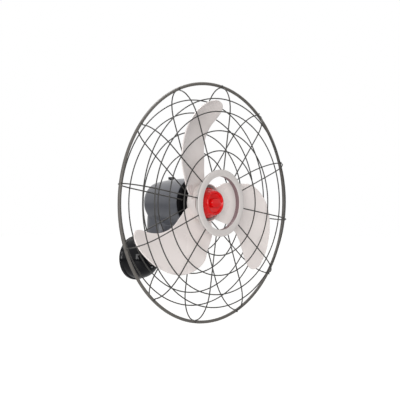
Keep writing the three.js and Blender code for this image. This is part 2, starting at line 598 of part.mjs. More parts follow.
function frontCover() {
  const inner = FRONT_BEARING_FRONT + SEAT;
  const boss = bearingPocket + COVER_WALL;
  const skirtRear = CORE_FRONT - 7;
  const hole = SHAFT_RADIUS + 1.5;
  const cover = turnedForward([
    [hole, COVER_DOME], [COVER_DOME_RADIUS, COVER_DOME - 1], [COVER_DOME_RADIUS + 9, COVER_FACE],
    [GUARD_PLATE_OUTER, COVER_FACE], [COVER_RADIUS, HOUSING_FRONT], [COVER_RADIUS, skirtRear],
    [coreSeat, skirtRear], [coreSeat, CORE_FRONT + SEAT], [coreSeat - 2, CORE_FRONT + SEAT],
    [coreSeat - 2, COVER_FACE - 4], [COVER_DOME_RADIUS + 6, COVER_FACE - COVER_WALL - 1],
    [COVER_DOME_RADIUS - 2, COVER_DOME - 1 - COVER_WALL], [boss, inner], [boss, inner - BEARING_LENGTH - SEAT],
    [bearingPocket, inner - BEARING_LENGTH - SEAT], [bearingPocket, inner], [hole, inner],
  ], 30);
  const vents = Array.from({ length: VENTS }, (_, i) => box(3, 12, 15, [0, -COVER_DOME, COVER_DOME_RADIUS - 10])
    .rotateY((TURN * (i + 0.5)) / VENTS));
  return piece("motor_front_cover", cut(cover, ...vents, ...boltHole(skirtRear - 1, COVER_FACE + 1)), FINISH.blackMatte);
}

function rearBracket() {
  const skirtFront = CORE_REAR + 7;
  const wall = BRACKET_REAR + COVER_WALL;
  const boss = bearingPocket + COVER_WALL;
  const bossFront = wall + BEARING_LENGTH + 2 * SEAT;
  const bracket = turnedForward([
    [coreSeat, skirtFront], [BRACKET_RADIUS, skirtFront], [BRACKET_RADIUS, BRACKET_REAR],
    [SHAFT_REAR_RADIUS + RUN, BRACKET_REAR], [SHAFT_REAR_RADIUS + RUN, wall], [bearingPocket, wall],
    [bearingPocket, bossFront], [boss, bossFront], [boss, wall], [coreSeat - 3, wall],
    [coreSeat - 3, CORE_REAR - SEAT], [coreSeat, CORE_REAR - SEAT],
  ], 16);
  return piece("motor_rear_bracket", cut(bracket, ...boltHole(BRACKET_REAR + 3, skirtFront + 1), ...caseScrewHoles(BRACKET_REAR - 1, wall + 1)), FINISH.castGrey);
}

function statorCore() {
  const bore = ROTOR_RADIUS + AIR_GAP;
  const ring = turnedForward(tube(CORE_RADIUS, bore, CORE_REAR, CORE_FRONT), 16);
  const slotDepth = (CORE_RADIUS - bore) * 0.55;
  const slots = Array.from({ length: CORE_SLOTS }, (_, i) => box(5, CORE_LENGTH + 2, slotDepth, [
    0, -(CORE_FRONT + CORE_REAR) / 2, bore + slotDepth / 2 - 1,
  ]).rotateY((TURN * i) / CORE_SLOTS));
  return piece("stator_core", cut(ring, ...slots), FINISH.darkSteel);
}

function winding(name, from, to) {
  const inner = ROTOR_RADIUS + 3;
  const outer = coreSeat - 5;
  const soft = 3;
  return piece(name, turnedForward([
    [inner, from + soft], [inner + soft, from], [outer - soft, from], [outer, from + soft],
    [outer, to - soft], [outer - soft, to], [inner + soft, to], [inner, to - soft],
  ], 18), FINISH.copper);
}

const bearing = (name, rear, radius, bore, length) => piece(name, turnedForward(tube(radius, bore, rear, rear + length), 10), FINISH.bronze);

function throughBolts() {
  const headBack = COVER_FACE + SEAT + GUARD_PLATE_THICKNESS + SEAT;
  const tip = BRACKET_REAR + 5;
  return boltAngles.map((angle, i) => {
    const [x, z] = onBoltCircle(angle);
    return placed(piece(`through_bolt_${i + 1}`, screwForward(THROUGH_BOLT_RADIUS, 3.8, 2.8, tip - headBack), FINISH.steel), x, -headBack, z);
  });
}

// ---------------------------------------------------------------- gear case
const CASE_FRONT = BRACKET_REAR - SEAT;
const CASE_BACK = -SWIVEL_Y - CASE_REAR;
const GEAR_REACH = (CRANK_GEAR_TEETH / 2 + 1) * GEAR_MODULE;
const CASE_FLOOR = -46.5;
const CASE_ROOF = 14;
const CASE_SCREWS = [[-23, -10], [38, 4]];
const caseScrewHoles = (from, to) => CASE_SCREWS.map(([x, z]) => turnedForward(rod(1.5 + SEAT, from, to), 8).translate(x, 0, z));
const wheelReach = (WHEEL_TEETH * WORM_MODULE) / 2 + WORM_MODULE;
const caseRight = wheelCentre.x + wheelReach + 2 + CASE_WALL;

const pinionSide = wheelCentre.x + (PINION_TEETH / 2 + 1) * GEAR_MODULE + 1 + CASE_WALL;

const WORM_MIDDLE = -SWIVEL_Y + WHEEL_FROM_SWIVEL; // level with the worm wheel's axis
const WORM_BEARING_LENGTH = 6;
const wormBearingFront = WORM_MIDDLE - WORM_LENGTH / 2 - 2;

function gearCase() {
  const outline = (wall) => [
    [-GEAR_REACH - 4 + wall, -41], [-GEAR_REACH - 1 + wall, CASE_FLOOR + wall], [pinionSide - wall, CASE_FLOOR + wall],
    [caseRight - wall, -31], [caseRight - wall, CASE_ROOF - wall],
    [-14 + wall, CASE_ROOF - wall], [-GEAR_REACH - 4 + wall, 8],
  ];
  const shell = plateForward(outline(0), CASE_BACK, CASE_FRONT);
  const lugs = CASE_SCREWS.map(([x, z]) => box(10, 4, 9, [x - Math.sign(x) * 1.5, -CASE_FRONT + 2, z]));
  const floorBoss = turnedUp(rod(6, CASE_FLOOR - 5, CASE_FLOOR + 1), 14).translate(crankCentre.x, SWIVEL_Y + crankCentre.y, 0);
  const hollow = plateForward(outline(CASE_WALL), CASE_BACK + CASE_WALL, CASE_FRONT + 1);
  const bearingBoss = turnedForward(tube(7 + CASE_WALL + SEAT, 7 + SEAT, CASE_BACK + 0.5, wormBearingFront - 1), 16);
  const shaftPocket = turnedForward(rod(7 + SEAT, CASE_BACK + CASE_WALL, wormBearingFront), 16);
  const crankHole = turnedUp(rod(CRANK_SHAFT_RADIUS + SEAT, CASE_FLOOR - 6, CASE_FLOOR + CASE_WALL + 1), 10)
    .translate(crankCentre.x, SWIVEL_Y + crankCentre.y, 0);
  const spindleHole = turnedUp(rod(SPINDLE_RADIUS + SEAT, CASE_ROOF - CASE_WALL - 1, CASE_ROOF + 1), 10).translate(...knobAt, 0);
  const body = join(cut(join(shell, ...lugs, floorBoss), hollow), bearingBoss);
  return piece("gear_case", cut(body, shaftPocket, crankHole, spindleHole, ...caseScrewHoles(CASE_FRONT - 6, CASE_FRONT + 1)), FINISH.castGrey);
}

const caseScrews = () => CASE_SCREWS.map(([x, z], i) => placed(
  piece(`case_screw_${i + 1}`, screwForward(1.5, 2.8, 1.8, -6.2).rotateX(Math.PI), FINISH.steel),
  x, -(CASE_FRONT - 4 - SEAT), z,
));

function capacitor() {
  const radius = 10;
  const centre = [-GEAR_REACH - 4 - SEAT - radius, 8];
  const can = turnedForward([[0, CASE_BACK + 6], [radius, CASE_BACK + 6], [radius, CASE_FRONT - 1], [0, CASE_FRONT - 1]], 16);
  return piece("capacitor", can.translate(centre[0], 0, centre[1]), FINISH.blackMatte);
}

// ---------------------------------------------------------------- guard
/** Corner distance of a square wire that is as stout as the round one. */
const CORNER = 1.25 * WIRE;
const section = (radius, along, size = CORNER) => [0, 1, 2, 3].map((i) => [
  radius + size * Math.cos((TURN * (i + 0.5)) / 4), along + size * Math.sin((TURN * (i + 0.5)) / 4),
]);
/** Centre lines of a flat ring's wire and of the arm under it lie this far apart. */
const LAP = 2 * WIRE - WELD;
const ARM_LEVEL = GUARD_DEPTH - LAP;

/** The arm's height at a radius: flat, then a quarter ellipse down to the hoop. */
function armLevel(radius) {
  const share = Math.max(0, (radius - ARM_BEND_START) / (HOOP_RADIUS - HOOP_BAR + 1 - ARM_BEND_START));
  return ARM_LEVEL * Math.sqrt(Math.max(0, 1 - share ** 2));
}

/** One half of the cage as seen from its own side; along counts away from the hoop's plane. */
function cage(armStart, armEnd, extraRings) {
  const bends = [0, 0.27, 0.52, 0.78].map((share) => {
    const radius = ARM_BEND_START + share * (HOOP_RADIUS - HOOP_BAR - ARM_BEND_START);
    return [radius, armLevel(radius)];
  });
  const path = [[armStart, ARM_LEVEL], ...bends, ...armEnd];
  const arms = Array.from({ length: GUARD_ARMS }, (_, i) => {
    const angle = rad(FIRST_ARM_ANGLE + (360 * i) / GUARD_ARMS);
    return wire(path.map(([radius, along]) => new THREE.Vector3(radius * Math.cos(angle), -along, radius * Math.sin(angle))), CORNER, 4);
  });
  const levelOfArm = (radius) => {
    const next = path.findIndex((point) => point[0] > radius);
    const [[fromRadius, from], [toRadius, to]] = [path[next - 1], path[next]];
    return from + ((to - from) * (radius - fromRadius)) / (toRadius - fromRadius);
  };
  const rings = RINGS.map((radius) => turnedForward(section(radius, levelOfArm(radius) + LAP), Math.round(radius / 10) + 3));
  return join(...arms, ...rings, ...extraRings);
}

function rearGuard() {
  const plateBack = -COVER_FACE - SEAT;
  const mountPlate = turnedForward(
    tube(GUARD_PLATE_OUTER, GUARD_PLATE_INNER, plateBack - GUARD_PLATE_THICKNESS, plateBack), 24,
  );
  const weldedEnd = [[HOOP_RADIUS - HOOP_BAR, HOOP_BAR + 2], [HOOP_RADIUS - HOOP_BAR + 1, 0]];
  const half = cage(GUARD_PLATE_INNER + 2, weldedEnd, [mountPlate]).scale(1, -1, 1);
  const hoop = turnedForward(arc([HOOP_RADIUS, 0], [1.06 * HOOP_BAR, 1.06 * HOOP_BAR], 0, 360, 6).slice(0, -1), 48);
  return piece("guard_rear", cut(join(half, hoop), ...boltHole(-plateBack - 1, -plateBack + 6)), FINISH.wireGrey);
}

function frontGuard() {
  // The arm's end springs over the hoop's front and outer side.
  const hookReach = HOOP_BAR + WIRE + SEAT;
  const hook = arc([HOOP_RADIUS, 0], [hookReach, hookReach], 135, 15, 3);
  const centreWire = turnedForward(section(CENTRE_WIRE_RADIUS, ARM_LEVEL), 24);
  return piece("guard_front", cage(CENTRE_WIRE_RADIUS, hook, [centreWire]), FINISH.wireGrey);
}

const RING_BACK = ARM_LEVEL - WIRE - SEAT; // front face of the ring behind the arms
const RING_SCREWS = 4;
const RING_SCREW_RADIUS = 1.4;
const ringScrewAngles = Array.from({ length: RING_SCREWS }, (_, i) => FIRST_ARM_ANGLE + 15 + (360 * i) / RING_SCREWS);
const RING_SCREW_CIRCLE = CENTRE_WIRE_RADIUS - 5; // clear of the centre wire
const onScrewCircle = (angle) => [RING_SCREW_CIRCLE * Math.cos(rad(angle)), RING_SCREW_CIRCLE * Math.sin(rad(angle))];

function centreRing() {
  const inner = CENTRE_RING_INNER + CENTRE_RING_WALL;
  const outer = CENTRE_RING_OUTER - CENTRE_RING_WALL;
  const skirt = ARM_LEVEL + WIRE + SEAT;
  const under = CENTRE_RING_FRONT - CENTRE_RING_WALL;
  const rear = CENTRE_RING_FRONT - CENTRE_RING_DEPTH;
  const ring = turnedForward([
    [CENTRE_RING_INNER, rear], [CENTRE_RING_INNER, CENTRE_RING_FRONT - 1.5], [CENTRE_RING_INNER + 1.5, CENTRE_RING_FRONT],
    [CENTRE_RING_OUTER - 3, CENTRE_RING_FRONT], [CENTRE_RING_OUTER, CENTRE_RING_FRONT - 2.5],
    [CENTRE_RING_OUTER, skirt], [outer, skirt], [outer, under], [inner, under], [inner, rear],
  ], 32);
  const posts = ringScrewAngles.map((angle) => {
    const [x, z] = onScrewCircle(angle);
    return turnedForward(rod(RING_SCREW_RADIUS + 1.2, RING_BACK + SEAT, under + 0.5), 8).translate(x, 0, z);
  });
  const taps = ringScrewAngles.map((angle) => {
    const [x, z] = onScrewCircle(angle);
    return turnedForward(rod(RING_SCREW_RADIUS + SEAT, RING_BACK, under - 0.5), 8).translate(x, 0, z);
  });
  return piece("guard_centre_ring", cut(join(ring, ...posts), ...taps), FINISH.ringGrey);
}

function backRing() {
  const thickness = 2.4;
  const ring = turnedForward(
    tube(CENTRE_RING_OUTER - 2, CENTRE_RING_INNER + CENTRE_RING_WALL + SEAT, RING_BACK - thickness, RING_BACK), 32,
  );
  const holes = ringScrewAngles.map((angle) => {
    const [x, z] = onScrewCircle(angle);
    return turnedForward(rod(RING_SCREW_RADIUS + SEAT, RING_BACK - thickness - 1, RING_BACK + 1), 8).translate(x, 0, z);
  });
  const screws = ringScrewAngles.map((angle, i) => {
    const [x, z] = onScrewCircle(angle);
    return placed(
      piece(`ring_screw_${i + 1}`, screw(RING_SCREW_RADIUS, 2.4, 1.6, -thickness - 4).rotateX(-Math.PI / 2), FINISH.darkSteel),
      x, -(RING_BACK - thickness - SEAT), z,
    );
  });
  return [piece("guard_back_ring", cut(ring, ...holes), FINISH.ringGrey), ...screws];
}

head.add(
  motorHousing(), neckPlate(), ...neckScrews(), frontCover(), rearBracket(), statorCore(),
  winding("winding_front", CORE_FRONT + SEAT, CORE_FRONT + WINDING_LENGTH),
  winding("winding_rear", CORE_REAR - WINDING_LENGTH, CORE_REAR - SEAT),
  bearing("front_bearing", FRONT_BEARING_FRONT - BEARING_LENGTH, BEARING_RADIUS, SHAFT_RADIUS + SEAT, BEARING_LENGTH),
  bearing("rear_bearing", REAR_BEARING_REAR, BEARING_RADIUS, SHAFT_RADIUS + SEAT, BEARING_LENGTH),
  bearing("worm_bearing", wormBearingFront - WORM_BEARING_LENGTH - SEAT, 7, SHAFT_REAR_RADIUS + SEAT, WORM_BEARING_LENGTH),
  ...throughBolts(), gearCase(), ...caseScrews(), capacitor(),
  rearGuard(), frontGuard(), centreRing(), ...backRing(),
);

// ================================================================ propeller and shaft
const PIN_PLACE = HUB_BACK + 5; // cross pin's axis, forward of the hoop's plane
const DRIVE_PIN_RADIUS = 1.5;
const NUT_SEAT = HUB_FRONT - 3.5; // front of the hub's boss
const THREAD_FRONT = 14;

function shaft() {
  const step = REAR_BEARING_REAR + SEAT;
  const rear = wormBearingFront - WORM_BEARING_LENGTH;
  const bar = turnedForward([
    [0, THREAD_FRONT], [4, THREAD_FRONT], [4, NUT_SEAT - SEAT], [SHAFT_RADIUS, NUT_SEAT - SEAT],
    [SHAFT_RADIUS, step], [SHAFT_REAR_RADIUS, step], [SHAFT_REAR_RADIUS, rear], [0, rear],
  ], 16);
  const pinHole = turnedAcross(rod(DRIVE_PIN_RADIUS + SEAT, -9, 9), 8).translate(0, -PIN_PLACE, 0);
  return piece("motor_shaft", cut(bar, pinHole), FINISH.steel);
}
const drivePin = () => placed(
  piece("drive_pin", turnedAcross(rod(DRIVE_PIN_RADIUS, -9, 9), 8), FINISH.steel), 0, -PIN_PLACE, 0,
);

function rotor() {
  const bore = SHAFT_RADIUS + SEAT;
  const ringOuter = ROTOR_RADIUS - 1.5;
  const ringInner = ROTOR_RADIUS * 0.55;
  return piece("motor_rotor", turnedForward([
    [bore, CORE_REAR], [ringInner, CORE_REAR], [ringInner, CORE_REAR - 5], [ringOuter, CORE_REAR - 5],
    [ringOuter, CORE_REAR], [ROTOR_RADIUS, CORE_REAR], [ROTOR_RADIUS, CORE_FRONT], [ringOuter, CORE_FRONT],
    [ringOuter, CORE_FRONT + 5], [ringInner, CORE_FRONT + 5], [ringInner, CORE_FRONT], [bore, CORE_FRONT],
  ], 18), FINISH.darkSteel);
}

function worm() {
  const root = WORM_RADIUS - 0.9;
  const crest = WORM_RADIUS + 0.55;
  const lead = Math.PI * WORM_MODULE;
  const turns = (WORM_LENGTH - 3) / lead;
  const steps = Math.round(turns * 7);
  // The ridge winds round the worm's axis as a right-hand thread along +Y.
  const ridge = Array.from({ length: steps + 1 }, (_, i) => {
    const angle = (TURN * turns * (i - steps / 2)) / steps;
    const along = (lead * angle) / TURN + lead / 4; // a gap faces the wheel's tooth
    return [[root - 0.5, -0.7], [crest, 0], [root - 0.5, 0.7]].map(([radius, half]) => [
      radius * Math.sin(angle), along + half, radius * Math.cos(angle),
    ]);
  });
  const ridgeShape = loft(ridge);
  const sleeve = turnedForward(tube(root, SHAFT_REAR_RADIUS + SEAT, -WORM_LENGTH / 2, WORM_LENGTH / 2), 8);
  return placed(piece("worm", join(sleeve, ridgeShape), FINISH.bronze), 0, -WORM_MIDDLE, 0);
}

// Blade outline: share of the span, mid-line angle and half width in degrees, mid-line's place forward, pitch slope.
const BLADE_ROWS = [
  [0.0, 2, 48, -15, 0.25],
  [0.16, 1, 37, -8.5, 0.25],
  [0.32, -3.5, 28.3, -3, 0.24],
  [0.48, -7.4, 25, 0, 0.29],
  [0.71, -19.6, 20, 0.5, 0.29],
  [0.94, -35.7, 14, 0, 0.22],
  [1.0, -39.5, 12, -1, 0.2],
];

function blade(turn) {
  const spline = new THREE.CubicInterpolant(
    BLADE_ROWS.map((row) => row[0]), BLADE_ROWS.flatMap((row) => row.slice(1)), 4, new Float32Array(4),
  );
  const root = HUB_RADIUS - HUB_WALL / 2;
  const span = TIP_RADIUS - root;
  const [radialSteps, chordSteps] = [12, 5];
  const sections = [];
  for (let i = 0; i <= radialSteps; i++) {
    const share = Math.sin((0.97 * i * Math.PI) / (2 * radialSteps));
    const radius = root + span * share;
    const [middle, half, forward, slope] = spline.evaluate(share);
    const past = Math.max(0, (radius - (TIP_RADIUS - TIP_ROUND)) / TIP_ROUND);
    const width = half * Math.sqrt(1 - past ** 2.2);
    const thickness = BLADE_ROOT_THICKNESS + (BLADE_TIP_THICKNESS - BLADE_ROOT_THICKNESS) * share;
    const face = (side) => Array.from({ length: chordSteps + 1 }, (_, j) => {
      const across = 1 - (2 * j) / chordSteps;
      const angle = rad(middle + across * width + turn);
      const camber = BLADE_CAMBER * (1 - across ** 2) * (width / half);
      const edge = 1 - 0.55 * across ** 4;
      const along = forward + slope * radius * rad(across * width) - camber + (side * edge * thickness) / 2;
      return [radius * Math.cos(angle), -along, radius * Math.sin(angle)];
    });
    sections.push([...face(1), ...face(-1).reverse()]);
  }
  return loft(sections);
}

function propeller() {
  const cavity = HUB_RADIUS - HUB_WALL;
  const cup = turnedForward([
    [SHAFT_RADIUS + SEAT, HUB_BACK], [HUB_RADIUS - 5, HUB_BACK], [HUB_RADIUS - 1.5, HUB_BACK + 2.5],
    [HUB_RADIUS, HUB_BACK + 7], [HUB_RADIUS, HUB_FRONT], [cavity, HUB_FRONT], [cavity, HUB_BACK + 6],
    [cavity - 4, HUB_BACK + HUB_WALL], [HUB_BOSS, HUB_BACK + HUB_WALL], [HUB_BOSS, NUT_SEAT], [SHAFT_RADIUS + SEAT, NUT_SEAT],
  ], 26);
  const blades = Array.from({ length: BLADES }, (_, i) => blade((360 * i) / BLADES));
  const slotTop = PIN_PLACE + DRIVE_PIN_RADIUS + SEAT;
  const slot = box(20, slotTop - HUB_BACK + 2, 2 * (DRIVE_PIN_RADIUS + SEAT), [0, -(slotTop + HUB_BACK - 2) / 2, 0]);
  return piece("propeller", cut(join(cup, ...blades), slot), FINISH.bladeGrey);
}

function spinnerNut() {
  const dish = NUT_RIM_FRONT - NUT_DISH;
  const base = NUT_SEAT - 1;
  const profile = [
    [0, THREAD_FRONT + 1], [4 + SEAT, THREAD_FRONT + 1], [4 + SEAT, NUT_SEAT + SEAT], [HUB_BOSS - 3, NUT_SEAT + SEAT],
    [HUB_BOSS - 3, dish - NUT_WALL - 3], [NUT_RIM - NUT_WALL - 2, dish - NUT_WALL - 3], [NUT_RADIUS - NUT_WALL - 3, 4],
    [NUT_RADIUS - NUT_WALL, base], [NUT_RADIUS, base], [NUT_RADIUS, 1.5], [NUT_RADIUS - 2.5, 8],
    [NUT_RADIUS - 5.2, 17], [NUT_RIM + 1.8, NUT_RIM_FRONT - 3], [NUT_RIM, NUT_RIM_FRONT - 0.5],
    [NUT_RIM - 2, NUT_RIM_FRONT], [NUT_RIM - 4, NUT_RIM_FRONT - 1.5], [NUT_RIM - 6.5, dish], [0, dish],
  ];
  const end = (x, from) => arc([x, 0], [NUT_GRIP, NUT_GRIP], from, from + 180, 6);
  const grip = [...end(NUT_GRIP_REACH, -90), ...end(-NUT_GRIP_REACH, 90)];
  return piece("spinner_nut", join(turnedForward(profile, 24), plateForward(grip, dish - 1, NUT_RIM_FRONT + 2.5)), FINISH.red);
}

const spinning = placed(new THREE.Group(), 0, -HOOP_REACH, AXIS_HEIGHT);
spinning.add(shaft(), drivePin(), rotor(), worm(), propeller(), spinnerNut());

// ================================================================ oscillation gear
// Placed on the head; the wheel and the knob share one upright axis.
const onHead = (mesh, x, y, z) => placed(mesh, x, y + SWIVEL_Y - HOOP_REACH, z + AXIS_HEIGHT);
const GEAR_TOP = CASE_FLOOR + CASE_WALL + 6.3;
const CRANK_GEAR_THICKNESS = 4.5;
const PINION_LENGTH = KNOB_TRAVEL - 0.4; // lifts clear of the crank gear

const wormWheel = onHead(
  piece("worm_wheel", gear(WHEEL_TEETH, WORM_MODULE, WHEEL_THICKNESS, SPINDLE_RADIUS + SEAT, 0.62), FINISH.nylon),
  wheelCentre.x, wheelCentre.y, 0,
);

function clutchSpindle() {
  const top = KNOB_TOP - 4;
  const pinionBase = GEAR_TOP - 0.2 - PINION_LENGTH;
  const pinion = gear(PINION_TEETH, GEAR_MODULE, PINION_LENGTH, 0.4, TOOTH_SHARE).translate(0, 0, pinionBase + PINION_LENGTH / 2);
  const bar = turnedUp(rod(SPINDLE_RADIUS, pinionBase, top), 10);
  const collar = turnedUp(rod(SPINDLE_RADIUS + 2, WHEEL_THICKNESS / 2 + SEAT, WHEEL_THICKNESS / 2 + SEAT + 1.5), 10);
  return onHead(piece("clutch_spindle", join(bar, pinion, collar), FINISH.steel), wheelCentre.x, wheelCentre.y, 0);
}

function knob() {
  const underHead = KNOB_TOP - 7;
  const stemFoot = KNOB_TOP - 16;
  const shape = turnedUp([
    [0, KNOB_TOP - 3.7], [SPINDLE_RADIUS + SEAT, KNOB_TOP - 3.7], [SPINDLE_RADIUS + SEAT, stemFoot], [KNOB_STEM, stemFoot],
    [KNOB_STEM, underHead], [KNOB_RADIUS - 0.8, underHead], [KNOB_RADIUS, underHead + 1],
    [KNOB_RADIUS, KNOB_TOP - 1], [KNOB_RADIUS - 1, KNOB_TOP], [0, KNOB_TOP],
  ], 16);
  return onHead(piece("oscillation_knob", shape, FINISH.blackMatte), wheelCentre.x, wheelCentre.y, 0);
}

// The crank gear is turned by half a tooth where that puts it in mesh with the pinion.
const meshAngle = wheelCentre.clone().sub(crankCentre).angle();
const pinionTurn = meshAngle + Math.PI;
const pitchAngle = TURN / CRANK_GEAR_TEETH;
const pinionPhase = (pinionTurn / TURN) * PINION_TEETH;
const crankGearTurn = meshAngle + pitchAngle * (0.5 + (pinionPhase - Math.round(pinionPhase)));

const crankGear = onHead(
  piece("crank_gear", gear(CRANK_GEAR_TEETH, GEAR_MODULE, CRANK_GEAR_THICKNESS, CRANK_SHAFT_RADIUS + SEAT, TOOTH_SHARE).rotateZ(crankGearTurn), FINISH.nylon),
  crankCentre.x, crankCentre.y, GEAR_TOP - CRANK_GEAR_THICKNESS / 2,
);

function crank() {
  const discFoot = down(CRANK_PIN_FOOT + 3);
  const discTop = discFoot + 3;
  const shape = join(
    turnedUp(rod(CRANK_THROW + LINK_PIN_RADIUS + 1.5, discFoot, discTop), 28),
    turnedUp(rod(CRANK_SHAFT_RADIUS, discTop - 1, GEAR_TOP + 1.5), 10),
    turnedUp(rod(LINK_PIN_RADIUS, down(CRANK_PIN_FOOT), discFoot + 1), 10)
      .translate(CRANK_THROW * Math.cos(crankAngle), CRANK_THROW * Math.sin(crankAngle), 0),
  );
  return onHead(piece("crank", shape, FINISH.steel), crankCentre.x, crankCentre.y, 0);
}

const fan = new THREE.Group();
fan.add(wallMount, tiltGroup, link, head, spinning, wormWheel, clutchSpindle(), knob(), crankGear, crank());
export default fan;
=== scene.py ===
# A 60 cm wall mounted fan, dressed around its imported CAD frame. Metres, +Z up, wall behind at y = 0.
import json
from math import cos, pi, radians, sin, sqrt

import bpy
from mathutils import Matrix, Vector

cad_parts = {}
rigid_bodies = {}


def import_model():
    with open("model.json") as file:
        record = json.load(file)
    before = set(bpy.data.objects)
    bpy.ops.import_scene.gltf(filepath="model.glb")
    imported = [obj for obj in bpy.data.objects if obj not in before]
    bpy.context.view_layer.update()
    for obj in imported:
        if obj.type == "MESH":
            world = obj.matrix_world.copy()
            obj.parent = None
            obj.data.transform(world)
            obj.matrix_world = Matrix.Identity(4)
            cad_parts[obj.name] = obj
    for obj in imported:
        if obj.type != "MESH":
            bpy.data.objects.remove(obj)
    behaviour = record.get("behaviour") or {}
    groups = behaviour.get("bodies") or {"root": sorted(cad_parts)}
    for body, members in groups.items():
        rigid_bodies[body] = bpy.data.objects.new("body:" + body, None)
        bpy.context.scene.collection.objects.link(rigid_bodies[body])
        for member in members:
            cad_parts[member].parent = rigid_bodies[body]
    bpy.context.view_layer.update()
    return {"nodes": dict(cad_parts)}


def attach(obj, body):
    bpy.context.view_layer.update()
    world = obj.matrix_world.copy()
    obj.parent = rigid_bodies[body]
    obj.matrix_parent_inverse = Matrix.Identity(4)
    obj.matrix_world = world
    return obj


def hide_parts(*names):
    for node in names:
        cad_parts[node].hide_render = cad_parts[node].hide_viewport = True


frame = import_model()
nodes = frame["nodes"]
mm = 0.001

# ---------------------------------------------------------------- studio
# A pale floor well below the fan, a white surround for the camera and soft light from
# a large lamp at the front left, one above and a weak one at the right.
hoop_centre = Vector((0, -268 * mm, 150 * mm))

scene = bpy.context.scene
scene.view_settings.view_transform = "Standard"

world = bpy.data.worlds.new("studio_air")
scene.world = world
world.use_nodes = True
air = world.node_tree
air.nodes.clear()
air_out = air.nodes.new("ShaderNodeOutputWorld")
seen_white = air.nodes.new("ShaderNodeBackground")
seen_white.inputs["Color"].default_value = (1, 1, 1, 1)
seen_white.inputs["Strength"].default_value = 1.0
air_light = air.nodes.new("ShaderNodeBackground")
air_light.inputs["Color"].default_value = (0.97, 0.985, 1, 1)
air_light.inputs["Strength"].default_value = 0.35
air_pick = air.nodes.new("ShaderNodeMixShader")
air_rays = air.nodes.new("ShaderNodeLightPath")
air_seen = air.nodes.new("ShaderNodeMath")
air_seen.operation = "MAXIMUM"
air_or_glossy = air.nodes.new("ShaderNodeMath")
air_or_glossy.operation = "MAXIMUM"
air.links.new(air_rays.outputs["Is Camera Ray"], air_seen.inputs[0])
air.links.new(air_rays.outputs["Is Transmission Ray"], air_seen.inputs[1])
air.links.new(air_seen.outputs[0], air_or_glossy.inputs[0])
air.links.new(air_rays.outputs["Is Glossy Ray"], air_or_glossy.inputs[1])
air.links.new(air_or_glossy.outputs[0], air_pick.inputs[0])
air.links.new(air_light.outputs[0], air_pick.inputs[1])
air.links.new(seen_white.outputs[0], air_pick.inputs[2])
air.links.new(air_pick.outputs[0], air_out.inputs["Surface"])


def soft_lamp(name, place, size, power):
    """A square lamp that faces the guard's centre."""
    bpy.ops.object.light_add(type="AREA", location=place)
    lamp = bpy.context.object
    lamp.name = name
    lamp.data.shape = "SQUARE"
    lamp.data.size = size
    lamp.data.energy = power
    lamp.rotation_euler = (hoop_centre - lamp.location).to_track_quat("-Z", "Y").to_euler()


soft_lamp("lamp_front_left", (-2.1, -2.1, 0.5), 1.4, 62)
soft_lamp("lamp_right", (2.6, -1.4, 0.9), 1.4, 2)
soft_lamp("lamp_above", (0.0, 0.2, 2.3), 0.9, 46)

floor_drop = -0.78
bpy.ops.mesh.primitive_plane_add(size=30, location=(0, 0, floor_drop))
floor = bpy.context.object
floor.name = "floor"
floor_paper = bpy.data.materials.new("floor_paper")
floor_paper.use_nodes = True
paper = floor_paper.node_tree
paper_matt = paper.nodes["Principled BSDF"]
paper_matt.inputs["Base Color"].default_value = (0.86, 0.86, 0.86, 1)
paper_matt.inputs["Roughness"].default_value = 0.9
paper_glow = paper.nodes.new("ShaderNodeEmission")
paper_glow.inputs["Color"].default_value = (1, 0.99, 0.97, 1)
paper_glow.inputs["Strength"].default_value = 0.7
paper_sum = paper.nodes.new("ShaderNodeAddShader")
paper_pick = paper.nodes.new("ShaderNodeMixShader")
paper_rays = paper.nodes.new("ShaderNodeLightPath")
paper.links.new(paper_matt.outputs[0], paper_sum.inputs[0])
paper.links.new(paper_glow.outputs[0], paper_sum.inputs[1])
paper.links.new(paper_rays.outputs["Is Camera Ray"], paper_pick.inputs[0])
paper.links.new(paper_matt.outputs[0], paper_pick.inputs[1])
paper.links.new(paper_sum.outputs[0], paper_pick.inputs[2])
paper.links.new(paper_pick.outputs[0], paper.nodes["Material Output"].inputs["Surface"])
floor.data.materials.append(floor_paper)

# The camera stands level with the fan, 46 degrees round to its left.
azimuth, elevation = radians(-46.18), radians(0.8)
away = Vector((sin(azimuth) * cos(elevation), -cos(azimuth) * cos(elevation), sin(elevation)))
right = Vector((cos(azimuth), sin(azimuth), 0))
over = away.cross(right)
bpy.ops.object.camera_add(location=hoop_centre + 2.865 * away - 0.0192 * right + 0.0073 * over)
camera = bpy.context.object
camera.rotation_euler = (pi / 2 - elevation, 0, azimuth)
camera.data.lens = 102.15
camera.data.sensor_width = 36
camera.data.clip_end = 60
scene.camera = camera


